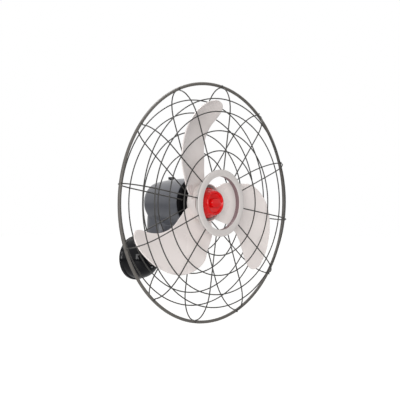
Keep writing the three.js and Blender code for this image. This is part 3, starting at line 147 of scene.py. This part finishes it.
# ---------------------------------------------------------------- wall canopy
# A bell of glossy black moulded plastic that slides along the arm against the wall
# and hides the plate. Its straight rim catches the light; a screw holds its collar.
def turned_shell(name, profile, centre, turn=(pi / 2, 0, 0), sides=96, closed=True):
    """A ring is drawn at the first (radius, along) pair in mm and pulled from pair to pair.
    Turned so that along counts forward, towards -Y, unless another turn is given."""
    bpy.ops.object.select_all(action="DESELECT")
    steps = [(max(radius, 0.01) * mm, along * mm) for radius, along in profile]
    if closed:
        steps.append(steps[0])
    bpy.ops.mesh.primitive_circle_add(vertices=sides, radius=steps[0][0], location=(0, 0, steps[0][1]))
    piece = bpy.context.object
    piece.name = name
    bpy.ops.object.transform_apply(location=True, rotation=True, scale=True)
    bpy.ops.object.mode_set(mode="EDIT")
    bpy.ops.mesh.select_all(action="SELECT")
    for (radius, along), (next_radius, next_along) in zip(steps, steps[1:]):
        bpy.ops.mesh.extrude_region_move(TRANSFORM_OT_translate={"value": (0, 0, next_along - along)})
        grow = next_radius / radius
        bpy.ops.transform.resize(value=(grow, grow, 1), center_override=(0, 0, next_along))
    bpy.ops.mesh.select_all(action="SELECT")
    bpy.ops.mesh.remove_doubles(threshold=0.03 * mm)
    bpy.ops.mesh.normals_make_consistent(inside=False)
    bpy.ops.object.mode_set(mode="OBJECT")
    piece.rotation_euler = turn
    piece.location = centre
    bpy.ops.object.transform_apply(location=True, rotation=True, scale=True)
    bpy.ops.object.shade_smooth_by_angle(angle=radians(38))
    return piece


def curve_between(start, end, centre, steps):
    """Quarter-ellipse points, in (radius, along), from start to end about a centre."""
    spread = (start[0] - centre[0], end[1] - centre[1])
    return [
        (centre[0] + spread[0] * cos(i * pi / 2 / steps), centre[1] + spread[1] * sin(i * pi / 2 / steps))
        for i in range(steps + 1)
    ]


def effect(name, inputs, outputs):
    """An empty shader group with the named sockets."""
    group = bpy.data.node_groups.new(name, "ShaderNodeTree")
    for socket, kind, value in inputs:
        made = group.interface.new_socket(name=socket, in_out="INPUT", socket_type=kind)
        made.default_value = value
    for socket, kind in outputs:
        group.interface.new_socket(name=socket, in_out="OUTPUT", socket_type=kind)
    return group, group.nodes.new("NodeGroupInput"), group.nodes.new("NodeGroupOutput")


# Skin: slow drift of tone, a fine orange-peel relief and a roughness that follows it.
skin, skin_in, skin_out = effect(
    "moulded_or_painted_skin",
    [("Colour", "NodeSocketColor", (0.5, 0.5, 0.5, 1)), ("Drift", "NodeSocketFloat", 0.06),
     ("Peel size", "NodeSocketFloat", 900.0), ("Peel depth", "NodeSocketFloat", 0.08),
     ("Roughness", "NodeSocketFloat", 0.4)],
    [("Colour", "NodeSocketColor"), ("Roughness", "NodeSocketFloat"), ("Normal", "NodeSocketVector")],
)
where = skin.nodes.new("ShaderNodeTexCoord")
slow = skin.nodes.new("ShaderNodeTexNoise")
slow.inputs["Scale"].default_value = 14
slow.inputs["Detail"].default_value = 4
fine = skin.nodes.new("ShaderNodeTexNoise")
fine.inputs["Detail"].default_value = 2
centred = skin.nodes.new("ShaderNodeMath")
centred.operation = "SUBTRACT"
centred.inputs[1].default_value = 0.5
share = skin.nodes.new("ShaderNodeMath")
share.operation = "MULTIPLY"
lift = skin.nodes.new("ShaderNodeMath")
lift.operation = "ADD"
lift.inputs[1].default_value = 1.0
tone = skin.nodes.new("ShaderNodeVectorMath")
tone.operation = "SCALE"
rough_share = skin.nodes.new("ShaderNodeMath")
rough_share.operation = "MULTIPLY_ADD"
rough_share.inputs[1].default_value = 0.25
peel = skin.nodes.new("ShaderNodeBump")
peel.inputs["Distance"].default_value = 0.0002
for start, end in [
    (where.outputs["Object"], slow.inputs["Vector"]), (where.outputs["Object"], fine.inputs["Vector"]),
    (skin_in.outputs["Peel size"], fine.inputs["Scale"]), (slow.outputs["Fac"], centred.inputs[0]),
    (centred.outputs[0], share.inputs[0]), (skin_in.outputs["Drift"], share.inputs[1]),
    (share.outputs[0], lift.inputs[0]), (skin_in.outputs["Colour"], tone.inputs[0]),
    (lift.outputs[0], tone.inputs["Scale"]), (tone.outputs[0], skin_out.inputs["Colour"]),
    (centred.outputs[0], rough_share.inputs[0]), (skin_in.outputs["Roughness"], rough_share.inputs[2]),
    (rough_share.outputs[0], skin_out.inputs["Roughness"]), (fine.outputs["Fac"], peel.inputs["Height"]),
    (skin_in.outputs["Peel depth"], peel.inputs["Strength"]),
    (peel.outputs["Normal"], skin_out.inputs["Normal"]),
]:
    skin.links.new(start, end)

# Dust: a thin pale film on what faces up, broken by a slow noise.
dust, dust_in, dust_out = effect(
    "settled_dust",
    [("Colour", "NodeSocketColor", (0.5, 0.5, 0.5, 1)), ("Amount", "NodeSocketFloat", 0.2)],
    [("Colour", "NodeSocketColor")],
)
facing = dust.nodes.new("ShaderNodeNewGeometry")
upright = dust.nodes.new("ShaderNodeSeparateXYZ")
up_only = dust.nodes.new("ShaderNodeMapRange")
up_only.inputs["From Min"].default_value = 0.25
up_only.inputs["From Max"].default_value = 1.0
dust_place = dust.nodes.new("ShaderNodeTexCoord")
patches = dust.nodes.new("ShaderNodeTexNoise")
patches.inputs["Scale"].default_value = 55
patches.inputs["Detail"].default_value = 6
film = dust.nodes.new("ShaderNodeMath")
film.operation = "MULTIPLY"
film_share = dust.nodes.new("ShaderNodeMath")
film_share.operation = "MULTIPLY"
film_mix = dust.nodes.new("ShaderNodeMix")
film_mix.data_type = "RGBA"
film_mix.inputs[7].default_value = (0.42, 0.40, 0.37, 1)
for start, end in [
    (facing.outputs["Normal"], upright.inputs[0]), (upright.outputs["Z"], up_only.inputs["Value"]),
    (dust_place.outputs["Object"], patches.inputs["Vector"]), (up_only.outputs["Result"], film.inputs[0]),
    (patches.outputs["Fac"], film.inputs[1]), (film.outputs[0], film_share.inputs[0]),
    (dust_in.outputs["Amount"], film_share.inputs[1]), (film_share.outputs[0], film_mix.inputs[0]),
    (dust_in.outputs["Colour"], film_mix.inputs[6]), (film_mix.outputs[2], dust_out.inputs["Colour"]),
]:
    dust.links.new(start, end)


def dressed(
    name, colour, roughness, drift=0.06, peel_size=900, peel_depth=0.08, dust_amount=0.15,
    metal=0.0, coat=0.0, gloss=0.5,
):
    """A painted, moulded or metal finish built on the skin and dust groups."""
    material = bpy.data.materials.new(name)
    material.use_nodes = True
    tree = material.node_tree
    shader = tree.nodes["Principled BSDF"]
    shader.inputs["Metallic"].default_value = metal
    shader.inputs["Specular IOR Level"].default_value = gloss
    shader.inputs["Coat Weight"].default_value = coat
    shader.inputs["Coat Roughness"].default_value = 0.08
    surface = tree.nodes.new("ShaderNodeGroup")
    surface.node_tree = skin
    for socket, value in [
        ("Colour", (*colour, 1)), ("Drift", drift), ("Peel size", peel_size),
        ("Peel depth", peel_depth), ("Roughness", roughness),
    ]:
        surface.inputs[socket].default_value = value
    film_on = tree.nodes.new("ShaderNodeGroup")
    film_on.node_tree = dust
    film_on.inputs["Amount"].default_value = dust_amount
    tree.links.new(surface.outputs["Colour"], film_on.inputs["Colour"])
    tree.links.new(film_on.outputs["Colour"], shader.inputs["Base Color"])
    tree.links.new(surface.outputs["Roughness"], shader.inputs["Roughness"])
    tree.links.new(surface.outputs["Normal"], shader.inputs["Normal"])
    return material


canopy_black = dressed(
    "canopy_black", (0.004, 0.004, 0.005), 0.1, peel_depth=0.03, dust_amount=0.0, gloss=0.16
)
rim_radius, dome_foot, nose_radius, canopy_depth, canopy_wall = 59, 56, 21.9, 61, 2
collar_radius, collar_bore, collar_front = 21.3, 17.3, 67
inner_depth = canopy_depth - canopy_wall
canopy = turned_shell("canopy_bell", [
    (57, 0.3), (58.4, 0.3), (rim_radius, 0.9), (rim_radius, 7.2), (58.3, 8),
    (dome_foot + 0.8, 8.8), (dome_foot, 9.6),
    *curve_between((dome_foot, 10), (0, canopy_depth), (nose_radius, 10), 12)[:-1],
    (nose_radius, canopy_depth - 0.1), (21.5, canopy_depth), (collar_radius, canopy_depth + 0.4),
    (collar_radius, collar_front - 0.6), (20.7, collar_front),
    (collar_bore, collar_front), (collar_bore, inner_depth),
    *reversed(curve_between((54, 10), (0, inner_depth), (nose_radius - canopy_wall, 10), 8)),
    (54, 7), (57, 6),
], (0, 0, 0))
canopy.data.materials.append(canopy_black)
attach(canopy, "wall_mount")
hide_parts("wall_canopy")


# ---------------------------------------------------------------- wall plate, arm and tilt bolt
# A zinc-plated plate screwed to the wall carries a cast arm, bolted by its foot. The
# arm is painted and ends in a fork, and a through bolt clamps the tilt bracket in it.
def wear(node_names, material):
    """Gives CAD nodes that keep their own shape a better finish."""
    for node_name in node_names:
        for place in nodes[node_name].material_slots:
            place.material = material


arm_paint = dressed(
    "arm_paint", (0.10, 0.088, 0.08), 0.42, drift=0.12, peel_size=700, peel_depth=0.15, gloss=0.3
)
zinc = dressed(
    "zinc_plate", (0.55, 0.55, 0.54), 0.34, drift=0.16, peel_size=1500, dust_amount=0.1, metal=0.95
)
wear(["wall_arm"], arm_paint)
wear(["wall_plate", "tilt_bolt", "tilt_nut", "tilt_washer_1", "tilt_washer_2"], zinc)
wear([f"arm_bolt_{bolt}" for bolt in range(1, 4)], zinc)
dark_zinc = dressed("dark_zinc", (0.30, 0.30, 0.31), 0.36, drift=0.1, peel_size=1500, metal=0.95)
wear(["canopy_screw"], dark_zinc)

# ---------------------------------------------------------------- tilt bracket and swivel
# A casting turns on the tilt bolt and carries the steel swivel pin, a nylon thrust
# washer and the fixed end of the oscillation link.
cast_grey = dressed(
    "cast_grey", (0.076, 0.079, 0.092), 0.32, drift=0.08, peel_size=800, peel_depth=0.2, coat=0.1
)
bright_steel = dressed(
    "bright_steel", (0.62, 0.62, 0.63), 0.28, drift=0.08, peel_size=1800, dust_amount=0, metal=1.0
)
bronze = dressed(
    "sintered_bronze", (0.50, 0.34, 0.16), 0.42, drift=0.14, peel_size=2500, dust_amount=0, metal=0.9
)
nylon = dressed("nylon", (0.74, 0.71, 0.62), 0.5, drift=0.05, dust_amount=0)
wear(["tilt_bracket"], cast_grey)
wear(
    ["swivel_pin", "link_arm", "link_arm_screw", "link_pin", "crank_link", "crank", "clutch_spindle"],
    bright_steel,
)
wear(["thrust_washer", "worm_wheel", "crank_gear"], nylon)
wear(["neck_plate", "front_bearing", "rear_bearing", "worm_bearing", "worm"], bronze)

# ---------------------------------------------------------------- motor housing and neck
# One aluminium casting in semi-gloss grey paint: a tapered bucket with a rounded rear
# edge, and an upright neck under its rear that sits over the swivel.
axis_height = 150
housing_edge = -50  # the casting's front edge, 50 mm behind the hoop's plane
casting_wall = 2.2
casting = turned_shell("motor_housing_casting", [
    (0, -36), (62.8, -36), (62.6, -53), (61.6, -93), (57.9, -136), (55.2, -155),
    *[(28 + 25 * cos(a * pi / 24), -168 - 25 * sin(a * pi / 24)) for a in range(13)], (0, -193),
], hoop_centre, sides=112, closed=False)
neck_radius, neck_foot, neck_dome, trim = 37, 56.6, 104, 12
neck = turned_shell("neck", [
    (0, neck_foot - trim), (neck_radius, neck_foot - trim), (neck_radius, neck_dome),
    *[(neck_radius * cos(a * pi / 20), neck_dome + 42 * sin(a * pi / 20)) for a in range(1, 11)],
], (0, -100 * mm, 0), turn=(0, 0, 0), sides=72, closed=False)
bpy.ops.object.select_all(action="DESELECT")
neck.select_set(True)
casting.select_set(True)
bpy.context.view_layer.objects.active = casting
bpy.ops.object.join()
# The two forms are cast in one, so they are remeshed as one skin and their corner is
# smoothed out; both ends are then cut off square and the skin is given its wall.
for kind, settings in [
    ("REMESH", {"mode": "VOXEL", "voxel_size": 2.2 * mm}),
    ("SMOOTH", {"factor": 0.5, "iterations": 26}),
]:
    step = casting.modifiers.new("casting_step", kind)
    for setting, value in settings.items():
        setattr(step, setting, value)
    bpy.ops.object.modifier_apply(modifier=step.name)
bpy.ops.object.mode_set(mode="EDIT")
for point, cut_normal in [
    ((0, hoop_centre.y - housing_edge * mm, 0), (0, -1, 0)), ((0, 0, neck_foot * mm), (0, 0, -1)),
]:
    bpy.ops.mesh.select_all(action="SELECT")
    bpy.ops.mesh.bisect(plane_co=point, plane_no=cut_normal, clear_outer=True)
bpy.ops.object.mode_set(mode="OBJECT")
wall = casting.modifiers.new("casting_wall", "SOLIDIFY")
wall.thickness = casting_wall * mm
wall.offset = -1
bpy.ops.object.modifier_apply(modifier="casting_wall")
casting.data.materials.append(cast_grey)
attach(casting, "head")

# A hole for the knob's stem is cut through the top of the housing.
knob_across, knob_out = 17.2 * mm, -120.5 * mm
bpy.ops.object.select_all(action="DESELECT")
bpy.ops.mesh.primitive_cylinder_add(
    vertices=28, radius=4.5 * mm, depth=30 * mm, location=(knob_across, knob_out, 203 * mm)
)
stem_drill = bpy.context.object
bpy.ops.object.select_all(action="DESELECT")
casting.select_set(True)
bpy.context.view_layer.objects.active = casting
drilling = casting.modifiers.new("knob_hole", "BOOLEAN")
drilling.operation = "DIFFERENCE"
drilling.object = stem_drill
bpy.ops.object.modifier_apply(modifier="knob_hole")
bpy.data.objects.remove(stem_drill)
bpy.ops.object.shade_smooth_by_angle(angle=radians(50))
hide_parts("motor_housing")
wear(["neck_screw_1", "neck_screw_2", "neck_screw_3"], dark_zinc)

# ---------------------------------------------------------------- oscillation knob
# A flat-headed black plastic button on the clutch spindle: down, the head swings.
knob_black = dressed(
    "knob_black", (0.014, 0.014, 0.016), 0.38, peel_size=1200, dust_amount=0.1, gloss=0.3
)
knob = turned_shell("knob_button", [
    (3, 50), (4, 50), (4, 58.6), (4.4, 59), (7.2, 59), (7.8, 59.5), (8, 60.2), (8, 64.6), (7.6, 65.6),
    (6.6, 66), (5.6, 65.8), (4.8, 65.4), (0, 65.2), (0, 62.4), (3, 62.4),
], (knob_across, knob_out, axis_height * mm), turn=(0, 0, 0), sides=48)
knob.data.materials.append(knob_black)
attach(knob, "knob")
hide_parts("oscillation_knob")

# ---------------------------------------------------------------- motor front cover
# A pressed steel bell in satin black closes the housing, with slots round its raised
# dome for cooling air. It also holds the front bearing and clamps the rear guard.
cover_black = dressed(
    "cover_black", (0.003, 0.003, 0.0035), 0.6, drift=0.1, peel_size=900, peel_depth=0.2,
    dust_amount=0.02, gloss=0.04,
)
cover = turned_shell("motor_front_bell", [
    (6.5, -36), (20, -36.1), (31, -36.6), (34, -37.4), (36.4, -39.2), (41, -44.6), (43, -46), (44.6, -46.3),
    (55.4, -46.3), (57.2, -47), (58.9, -49.4), (58.9, -77), (47.8, -77), (47.8, -69.7), (45.8, -69.7),
    (45.8, -50.3), (40, -49.9), (32, -39.8), (10.9, -38.6), (10.9, -45.9), (8.3, -45.9), (8.3, -38.6),
    (6.5, -38.6),
], hoop_centre, sides=96)
vent_count, vent_middle, vent_long, vent_wide, vent_behind = 24, 26, 15, 2.6, 38
bpy.ops.object.select_all(action="DESELECT")
for vent in range(vent_count):
    spoke = 2 * pi * (vent + 0.5) / vent_count
    bpy.ops.mesh.primitive_cube_add(
        size=1, location=(vent_middle * mm * cos(spoke), 0, vent_middle * mm * sin(spoke))
    )
    slot_cutter = bpy.context.object
    slot_cutter.dimensions = (vent_long * mm, 14 * mm, vent_wide * mm)
    slot_cutter.rotation_euler = (0, -spoke, 0)
    slot_cutter.location.y = hoop_centre.y + vent_behind * mm
    slot_cutter.location.z += hoop_centre.z
    slot_cutter.name = f"vent_cutter_{vent}"
bpy.ops.object.select_all(action="DESELECT")
cutters = [made for made in bpy.data.objects if made.name.startswith("vent_cutter_")]
for cutter in cutters:
    cutter.select_set(True)
bpy.context.view_layer.objects.active = cutters[0]
bpy.ops.object.join()
vent_cutters = bpy.context.object
bpy.ops.object.transform_apply(location=True, rotation=True, scale=True)
bpy.ops.object.select_all(action="DESELECT")
cover.select_set(True)
bpy.context.view_layer.objects.active = cover
slotting = cover.modifiers.new("vents", "BOOLEAN")
slotting.operation = "DIFFERENCE"
slotting.object = vent_cutters
bpy.ops.object.modifier_apply(modifier="vents")
bpy.data.objects.remove(vent_cutters)
bpy.ops.object.shade_smooth_by_angle(angle=radians(38))
cover.data.materials.append(cover_black)
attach(cover, "head")
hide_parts("motor_front_cover")

# ---------------------------------------------------------------- inside the motor
# Bare castings, varnished laminations, lacquered windings and the shaft: seen only
# through the vents, with the bolt heads that clamp the guard to the motor.
bare_casting = dressed(
    "bare_casting", (0.52, 0.52, 0.54), 0.45, drift=0.1, peel_size=1200, dust_amount=0, metal=0.85
)
laminations = dressed(
    "varnished_laminations", (0.12, 0.10, 0.095), 0.4, drift=0.2, dust_amount=0, metal=0.5
)
lacquered_wire = dressed(
    "lacquered_wire", (0.36, 0.13, 0.05), 0.35, drift=0.3, peel_size=400, peel_depth=0.6, dust_amount=0
)
capacitor_black = dressed("capacitor_black", (0.02, 0.02, 0.022), 0.4, dust_amount=0)
wear(["gear_case", "motor_rear_bracket"], bare_casting)
wear(["stator_core", "motor_rotor"], laminations)
wear(["winding_front", "winding_rear"], lacquered_wire)
wear(["capacitor"], capacitor_black)
wear(["motor_shaft", "drive_pin", "case_screw_1", "case_screw_2"], bright_steel)
wear([f"through_bolt_{bolt}" for bolt in range(1, 5)], zinc)

# ---------------------------------------------------------------- propeller
# Three wide swept blades moulded with a cup-shaped hub in warm light grey plastic, 2.6 mm
# thick with rounded edges. The motor's shaft passes through the hub and drives it.
blade_grey = dressed(
    "blade_grey", (0.72, 0.66, 0.635), 0.3, drift=0.02, peel_size=500, peel_depth=0.04,
    dust_amount=0.05, coat=0.1,
)
hub = turned_shell("propeller_hub", [
    (5.3, -29.5), (41.5, -29.5), (44.6, -29), (46.8, -27.2), (48, -22.5), (48.5, -12), (48.5, 1.6),
    (47.9, 2.4), (46.4, 2.4), (45.8, 1.8), (45.8, -23), (44.6, -25.4), (41.5, -27), (12, -27), (12, -2),
    (5.3, -2),
], hoop_centre, sides=112)

# Share of the span: mid-line angle and half width in degrees, mid-line forward in mm, pitch slope.
blade_rows = [
    (0.0, 2, 48, -15, 0.25),
    (0.16, 1, 37, -8.5, 0.25),
    (0.32, -3.5, 28.3, -3, 0.24),
    (0.48, -7.4, 25, 0, 0.29),
    (0.71, -19.6, 20, 0.5, 0.29),
    (0.94, -35.7, 14, 0, 0.22),
    (1.0, -39.5, 12, -1, 0.2),
]
blade_root, blade_tip, tip_rounding = 47, 263, 57
blade_camber, blade_thickness, blade_count = 4, 2.6, 3


def blade_at(span_share):
    """The blade's row at a share of the span, on a smooth curve through blade_rows."""
    last = len(blade_rows) - 2
    row = min(last, max(i for i in range(last + 1) if blade_rows[i][0] <= span_share))
    before, start, end, after = (blade_rows[max(0, min(last + 1, row + i))] for i in (-1, 0, 1, 2))
    reach = end[0] - start[0]
    at = (span_share - start[0]) / reach
    values = []
    for column in range(1, 5):
        leave = (end[column] - before[column]) / (end[0] - before[0]) * reach
        arrive = (after[column] - start[column]) / (after[0] - start[0]) * reach
        values.append(
            (2 * at**3 - 3 * at**2 + 1) * start[column] + (at**3 - 2 * at**2 + at) * leave
            + (3 * at**2 - 2 * at**3) * end[column] + (at**3 - at**2) * arrive
        )
    return values


bpy.ops.object.select_all(action="DESELECT")
bpy.ops.mesh.primitive_grid_add(x_subdivisions=34, y_subdivisions=14, size=2)
blade = bpy.context.object
for corner in blade.data.vertices:
    span_share = sin(0.992 * (corner.co.x + 1) / 2 * pi / 2)
    radius = blade_root + (blade_tip - blade_root) * span_share
    middle, half, forward, slope = blade_at(span_share)
    past = max(0, (radius - (blade_tip - tip_rounding)) / tip_rounding)
    width = half * sqrt(1 - past**2.2)
    angle = radians(middle + corner.co.y * width)
    camber = blade_camber * (1 - corner.co.y**2) * width / half
    along = forward + slope * radius * radians(corner.co.y * width) - camber
    corner.co = (radius * mm * cos(angle), -along * mm, radius * mm * sin(angle))
thicken = blade.modifiers.new("thickness", "SOLIDIFY")
thicken.thickness = blade_thickness * mm
thicken.offset = 0
bpy.ops.object.modifier_apply(modifier="thickness")
round_off = blade.modifiers.new("rounded_edges", "BEVEL")
round_off.width = 0.9 * mm
round_off.segments = 2
round_off.angle_limit = radians(50)
bpy.ops.object.modifier_apply(modifier="rounded_edges")
bpy.ops.object.shade_smooth_by_angle(angle=radians(50))
blades = [blade]
for copy_number in range(1, blade_count):
    bpy.ops.object.select_all(action="DESELECT")
    blade.select_set(True)
    bpy.context.view_layer.objects.active = blade
    bpy.ops.object.duplicate()
    twin = bpy.context.object
    twin.rotation_euler = (0, -2 * pi * copy_number / blade_count, 0)
    blades.append(twin)
bpy.ops.object.select_all(action="DESELECT")
for each in blades:
    each.select_set(True)
bpy.context.view_layer.objects.active = blade
bpy.ops.object.join()
blade.name = "propeller_blades"
blade.location = hoop_centre
bpy.ops.object.transform_apply(location=True, rotation=True, scale=True)
for piece in (hub, blade):
    piece.data.materials.append(blade_grey)
    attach(piece, "propeller")
    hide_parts("propeller")

# ---------------------------------------------------------------- spinner nut
# A glossy red plastic cone screwed on the shaft's end. Its dished face has a raised rim
# and an oval grip bar across it.
nut_red = dressed(
    "nut_red", (0.60, 0.002, 0.003), 0.2, drift=0.02, peel_depth=0.0, dust_amount=0.0, gloss=0.35
)
nut = turned_shell("spinner_cone", [
    (4.3, -1.7), (9, -1.7), (9, 16), (20, 17), (33, 4), (36, -3), (38.4, -3), (39, -2.4), (39, 1.5),
    (38.3, 4.6), (36.6, 8), (34.4, 15), (32, 21), (30.8, 25), (29.8, 27.4), (28.6, 28.4), (27, 28.5),
    (25.6, 27.9), (24.6, 26.4), (23.8, 24.4), (22.4, 23.3), (20.5, 23), (0, 23), (0, 15), (4.3, 15),
], hoop_centre, sides=112)
grip_half, grip_end = 5, 11.5
bpy.ops.object.select_all(action="DESELECT")
bpy.ops.mesh.primitive_cylinder_add(
    vertices=40, radius=grip_end * mm, depth=9 * mm, location=(0, 0, 26.5 * mm)
)
grip = bpy.context.object
grip.name = "spinner_grip"
bpy.ops.object.transform_apply(location=True)
for corner in grip.data.vertices:
    corner.co.x += grip_half * mm * (1 if corner.co.x > 0.1 * mm else -1 if corner.co.x < -0.1 * mm else 0)
soften = grip.modifiers.new("soft_edges", "BEVEL")
soften.width = 3 * mm
soften.segments = 5
soften.angle_limit = radians(50)
bpy.ops.object.modifier_apply(modifier="soft_edges")
grip.rotation_euler = (pi / 2, 0, 0)
grip.location = hoop_centre
bpy.ops.object.transform_apply(location=True, rotation=True, scale=True)
bpy.ops.object.shade_smooth_by_angle(angle=radians(40))
for piece in (nut, grip):
    piece.data.materials.append(nut_red)
    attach(piece, "propeller")
    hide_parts("spinner_nut")

# ---------------------------------------------------------------- guard
# Two wire halves in dark taupe powder coat: a round bar hoop, four rings and twelve
# radial arms on each side, spot-welded where they cross. The rear half is welded to a
# plate on the motor; the front half's arms spring over the hoop.
wire_grey = dressed(
    "wire_grey", (0.036, 0.034, 0.031), 0.4, drift=0.1, peel_size=1400, peel_depth=0.2,
    dust_amount=0.1, gloss=0.3,
)
hoop_grey = dressed(
    "hoop_grey", (0.095, 0.087, 0.078), 0.42, drift=0.1, peel_size=1200, peel_depth=0.2,
    dust_amount=0.1, gloss=0.35,
)
wire_radius, hoop_bar, hoop_radius = 1.55, 4, 300
arm_level, bend_start, bend_end = 42.6, 219, 297
arm_count, first_arm = 12, 20.5
ring_rows = [(261, 38.2), (228.5, 44.8), (180.5, 45.4), (130.5, 45.4)]
ellipse_handle = 0.5523


def guard_half(name, side, arm_start, hook, extra_rings):
    """Rings and arms of one half; side is 1 for the front half and -1 for the rear one."""
    made = []
    for radius, along in ring_rows + extra_rings:
        bpy.ops.mesh.primitive_torus_add(
            major_radius=radius * mm, minor_radius=wire_radius * mm, major_segments=120, minor_segments=9,
            location=(0, -side * along * mm, 0), rotation=(pi / 2, 0, 0),
        )
        made.append(bpy.context.object)
    bend = bend_end - bend_start
    points = [
        ((arm_start, arm_level), None, None),
        (
            (bend_start, arm_level), (bend_start - 20, arm_level),
            (bend_start + ellipse_handle * bend, arm_level),
        ),
        *hook(),
    ]
    bpy.ops.curve.primitive_bezier_curve_add()
    arm = bpy.context.object
    arm.data.dimensions = "3D"
    line = arm.data.splines[0]
    line.bezier_points.add(len(points) - len(line.bezier_points))
    for knot, (at, handle_in, handle_out) in zip(line.bezier_points, points):
        knot.handle_left_type = knot.handle_right_type = "AUTO"
        if handle_in:
            knot.handle_left_type = knot.handle_right_type = "FREE"
        knot.co = (at[0] * mm, -side * at[1] * mm, 0)
        if handle_in:
            knot.handle_left = (handle_in[0] * mm, -side * handle_in[1] * mm, 0)
            knot.handle_right = (handle_out[0] * mm, -side * handle_out[1] * mm, 0)
    line.resolution_u = 9
    arm.data.bevel_depth = wire_radius * mm
    arm.data.bevel_resolution = 2
    arm.data.use_fill_caps = True
    bpy.ops.object.convert(target="MESH")
    for turn in range(arm_count):
        bpy.ops.object.select_all(action="DESELECT")
        arm.select_set(True)
        bpy.context.view_layer.objects.active = arm
        bpy.ops.object.duplicate()
        spoke = bpy.context.object
        spoke.rotation_euler = (0, -radians(first_arm + 360 * turn / arm_count), 0)
        made.append(spoke)
    bpy.data.objects.remove(arm)
    bpy.ops.object.select_all(action="DESELECT")
    for wire in made:
        wire.select_set(True)
    bpy.context.view_layer.objects.active = made[0]
    bpy.ops.object.join()
    half = bpy.context.object
    half.name = name
    bpy.ops.object.transform_apply(location=True, rotation=True, scale=True)
    half.location = hoop_centre
    bpy.ops.object.transform_apply(location=True, rotation=True, scale=True)
    bpy.ops.object.shade_smooth_by_angle(angle=radians(50))
    half.data.materials.append(wire_grey)
    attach(half, "head")
    return half


def welded_to_hoop():
    """The rear arm runs into the hoop's bar from behind."""
    return [((bend_end, 0.5), (bend_end, ellipse_handle * arm_level), (bend_end, -2))]


def sprung_over_hoop():
    """The front arm comes down to the hoop and hooks over its front and outer side."""
    reach = hoop_bar + wire_radius + 0.1
    valley = (hoop_radius - 0.74 * reach, 0.76 * reach)
    return [
        (valley, (valley[0] - 1.2, valley[1] + 0.48 * arm_level), (valley[0] + 0.5, valley[1] + 0.8)),
        ((hoop_radius + 0.2 * reach, 0.98 * reach), None, None),
        ((hoop_radius + 0.55 * reach, 0.84 * reach), None, None),
    ]


rear_half = guard_half("guard_rear_wires", -1, 47, welded_to_hoop, [])
front_half = guard_half("guard_front_wires", 1, 77, sprung_over_hoop, [(77, arm_level)])
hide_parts("guard_front")

bpy.ops.object.select_all(action="DESELECT")
bpy.ops.mesh.primitive_torus_add(
    major_radius=hoop_radius * mm, minor_radius=hoop_bar * mm, major_segments=180, minor_segments=14,
    location=hoop_centre, rotation=(pi / 2, 0, 0),
)
hoop = bpy.context.object
hoop.name = "guard_hoop"
bpy.ops.object.transform_apply(location=True, rotation=True, scale=True)
bpy.ops.object.shade_smooth()
hoop.data.materials.append(hoop_grey)
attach(hoop, "head")

guard_plate = turned_shell("guard_mount_plate", [
    (45, -46), (56.6, -46), (57, -45.6), (57, -44), (56.6, -43.6), (45.4, -43.6), (45, -44),
], hoop_centre, sides=96)
guard_plate.data.materials.append(cover_black)
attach(guard_plate, "head")
for piece in (rear_half, hoop, guard_plate):
    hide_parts("guard_rear")

# ---------------------------------------------------------------- guard centre ring
# A light grey moulded channel closes the middle of the front half over the arms' ends.
# Its inner wall is painted a darker mauve: painted shade with a painted reflection of the red nut. Four
# small screws pull a flat ring to it.
ring_grey = dressed(
    "ring_grey", (0.55, 0.515, 0.495), 0.38, drift=0.03, peel_size=700, dust_amount=0.08
)
# Painted shade: a dark mauve for the ring's inner wall, tinted red as a painted reflection of the nut.
inner_wall_painted_shade = dressed(
    "ring_inner_wall_painted_shade", (0.20, 0.145, 0.15), 0.4, drift=0.05, peel_size=700, dust_amount=0
)
centre_ring = turned_shell("guard_centre_channel", [
    (66.7, 35.4), (66.7, 47.2), (67.1, 48.1), (67.8, 48.5), (80.4, 48.5), (82.4, 48.3), (83.6, 47.7),
    (84, 46.9), (84, 45.4), (82, 45.4), (82, 46.5), (68.7, 46.5), (68.7, 35.4), (68.3, 35), (67.1, 35),
], hoop_centre, sides=128)
centre_ring.data.materials.append(ring_grey)
centre_ring.data.materials.append(inner_wall_painted_shade)
# The inner wall's faces are given the painted shade and reflection material.
for face in centre_ring.data.polygons:
    middle = face.center - hoop_centre
    painted_shade_wall = sqrt(middle.x**2 + middle.z**2) < 67 * mm and abs(face.normal.y) < 0.3
    face.material_index = 1 if painted_shade_wall else 0
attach(centre_ring, "head")
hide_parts("guard_centre_ring")
wear(["guard_back_ring"], ring_grey)
wear([f"ring_screw_{screw}" for screw in range(1, 5)], dark_zinc)
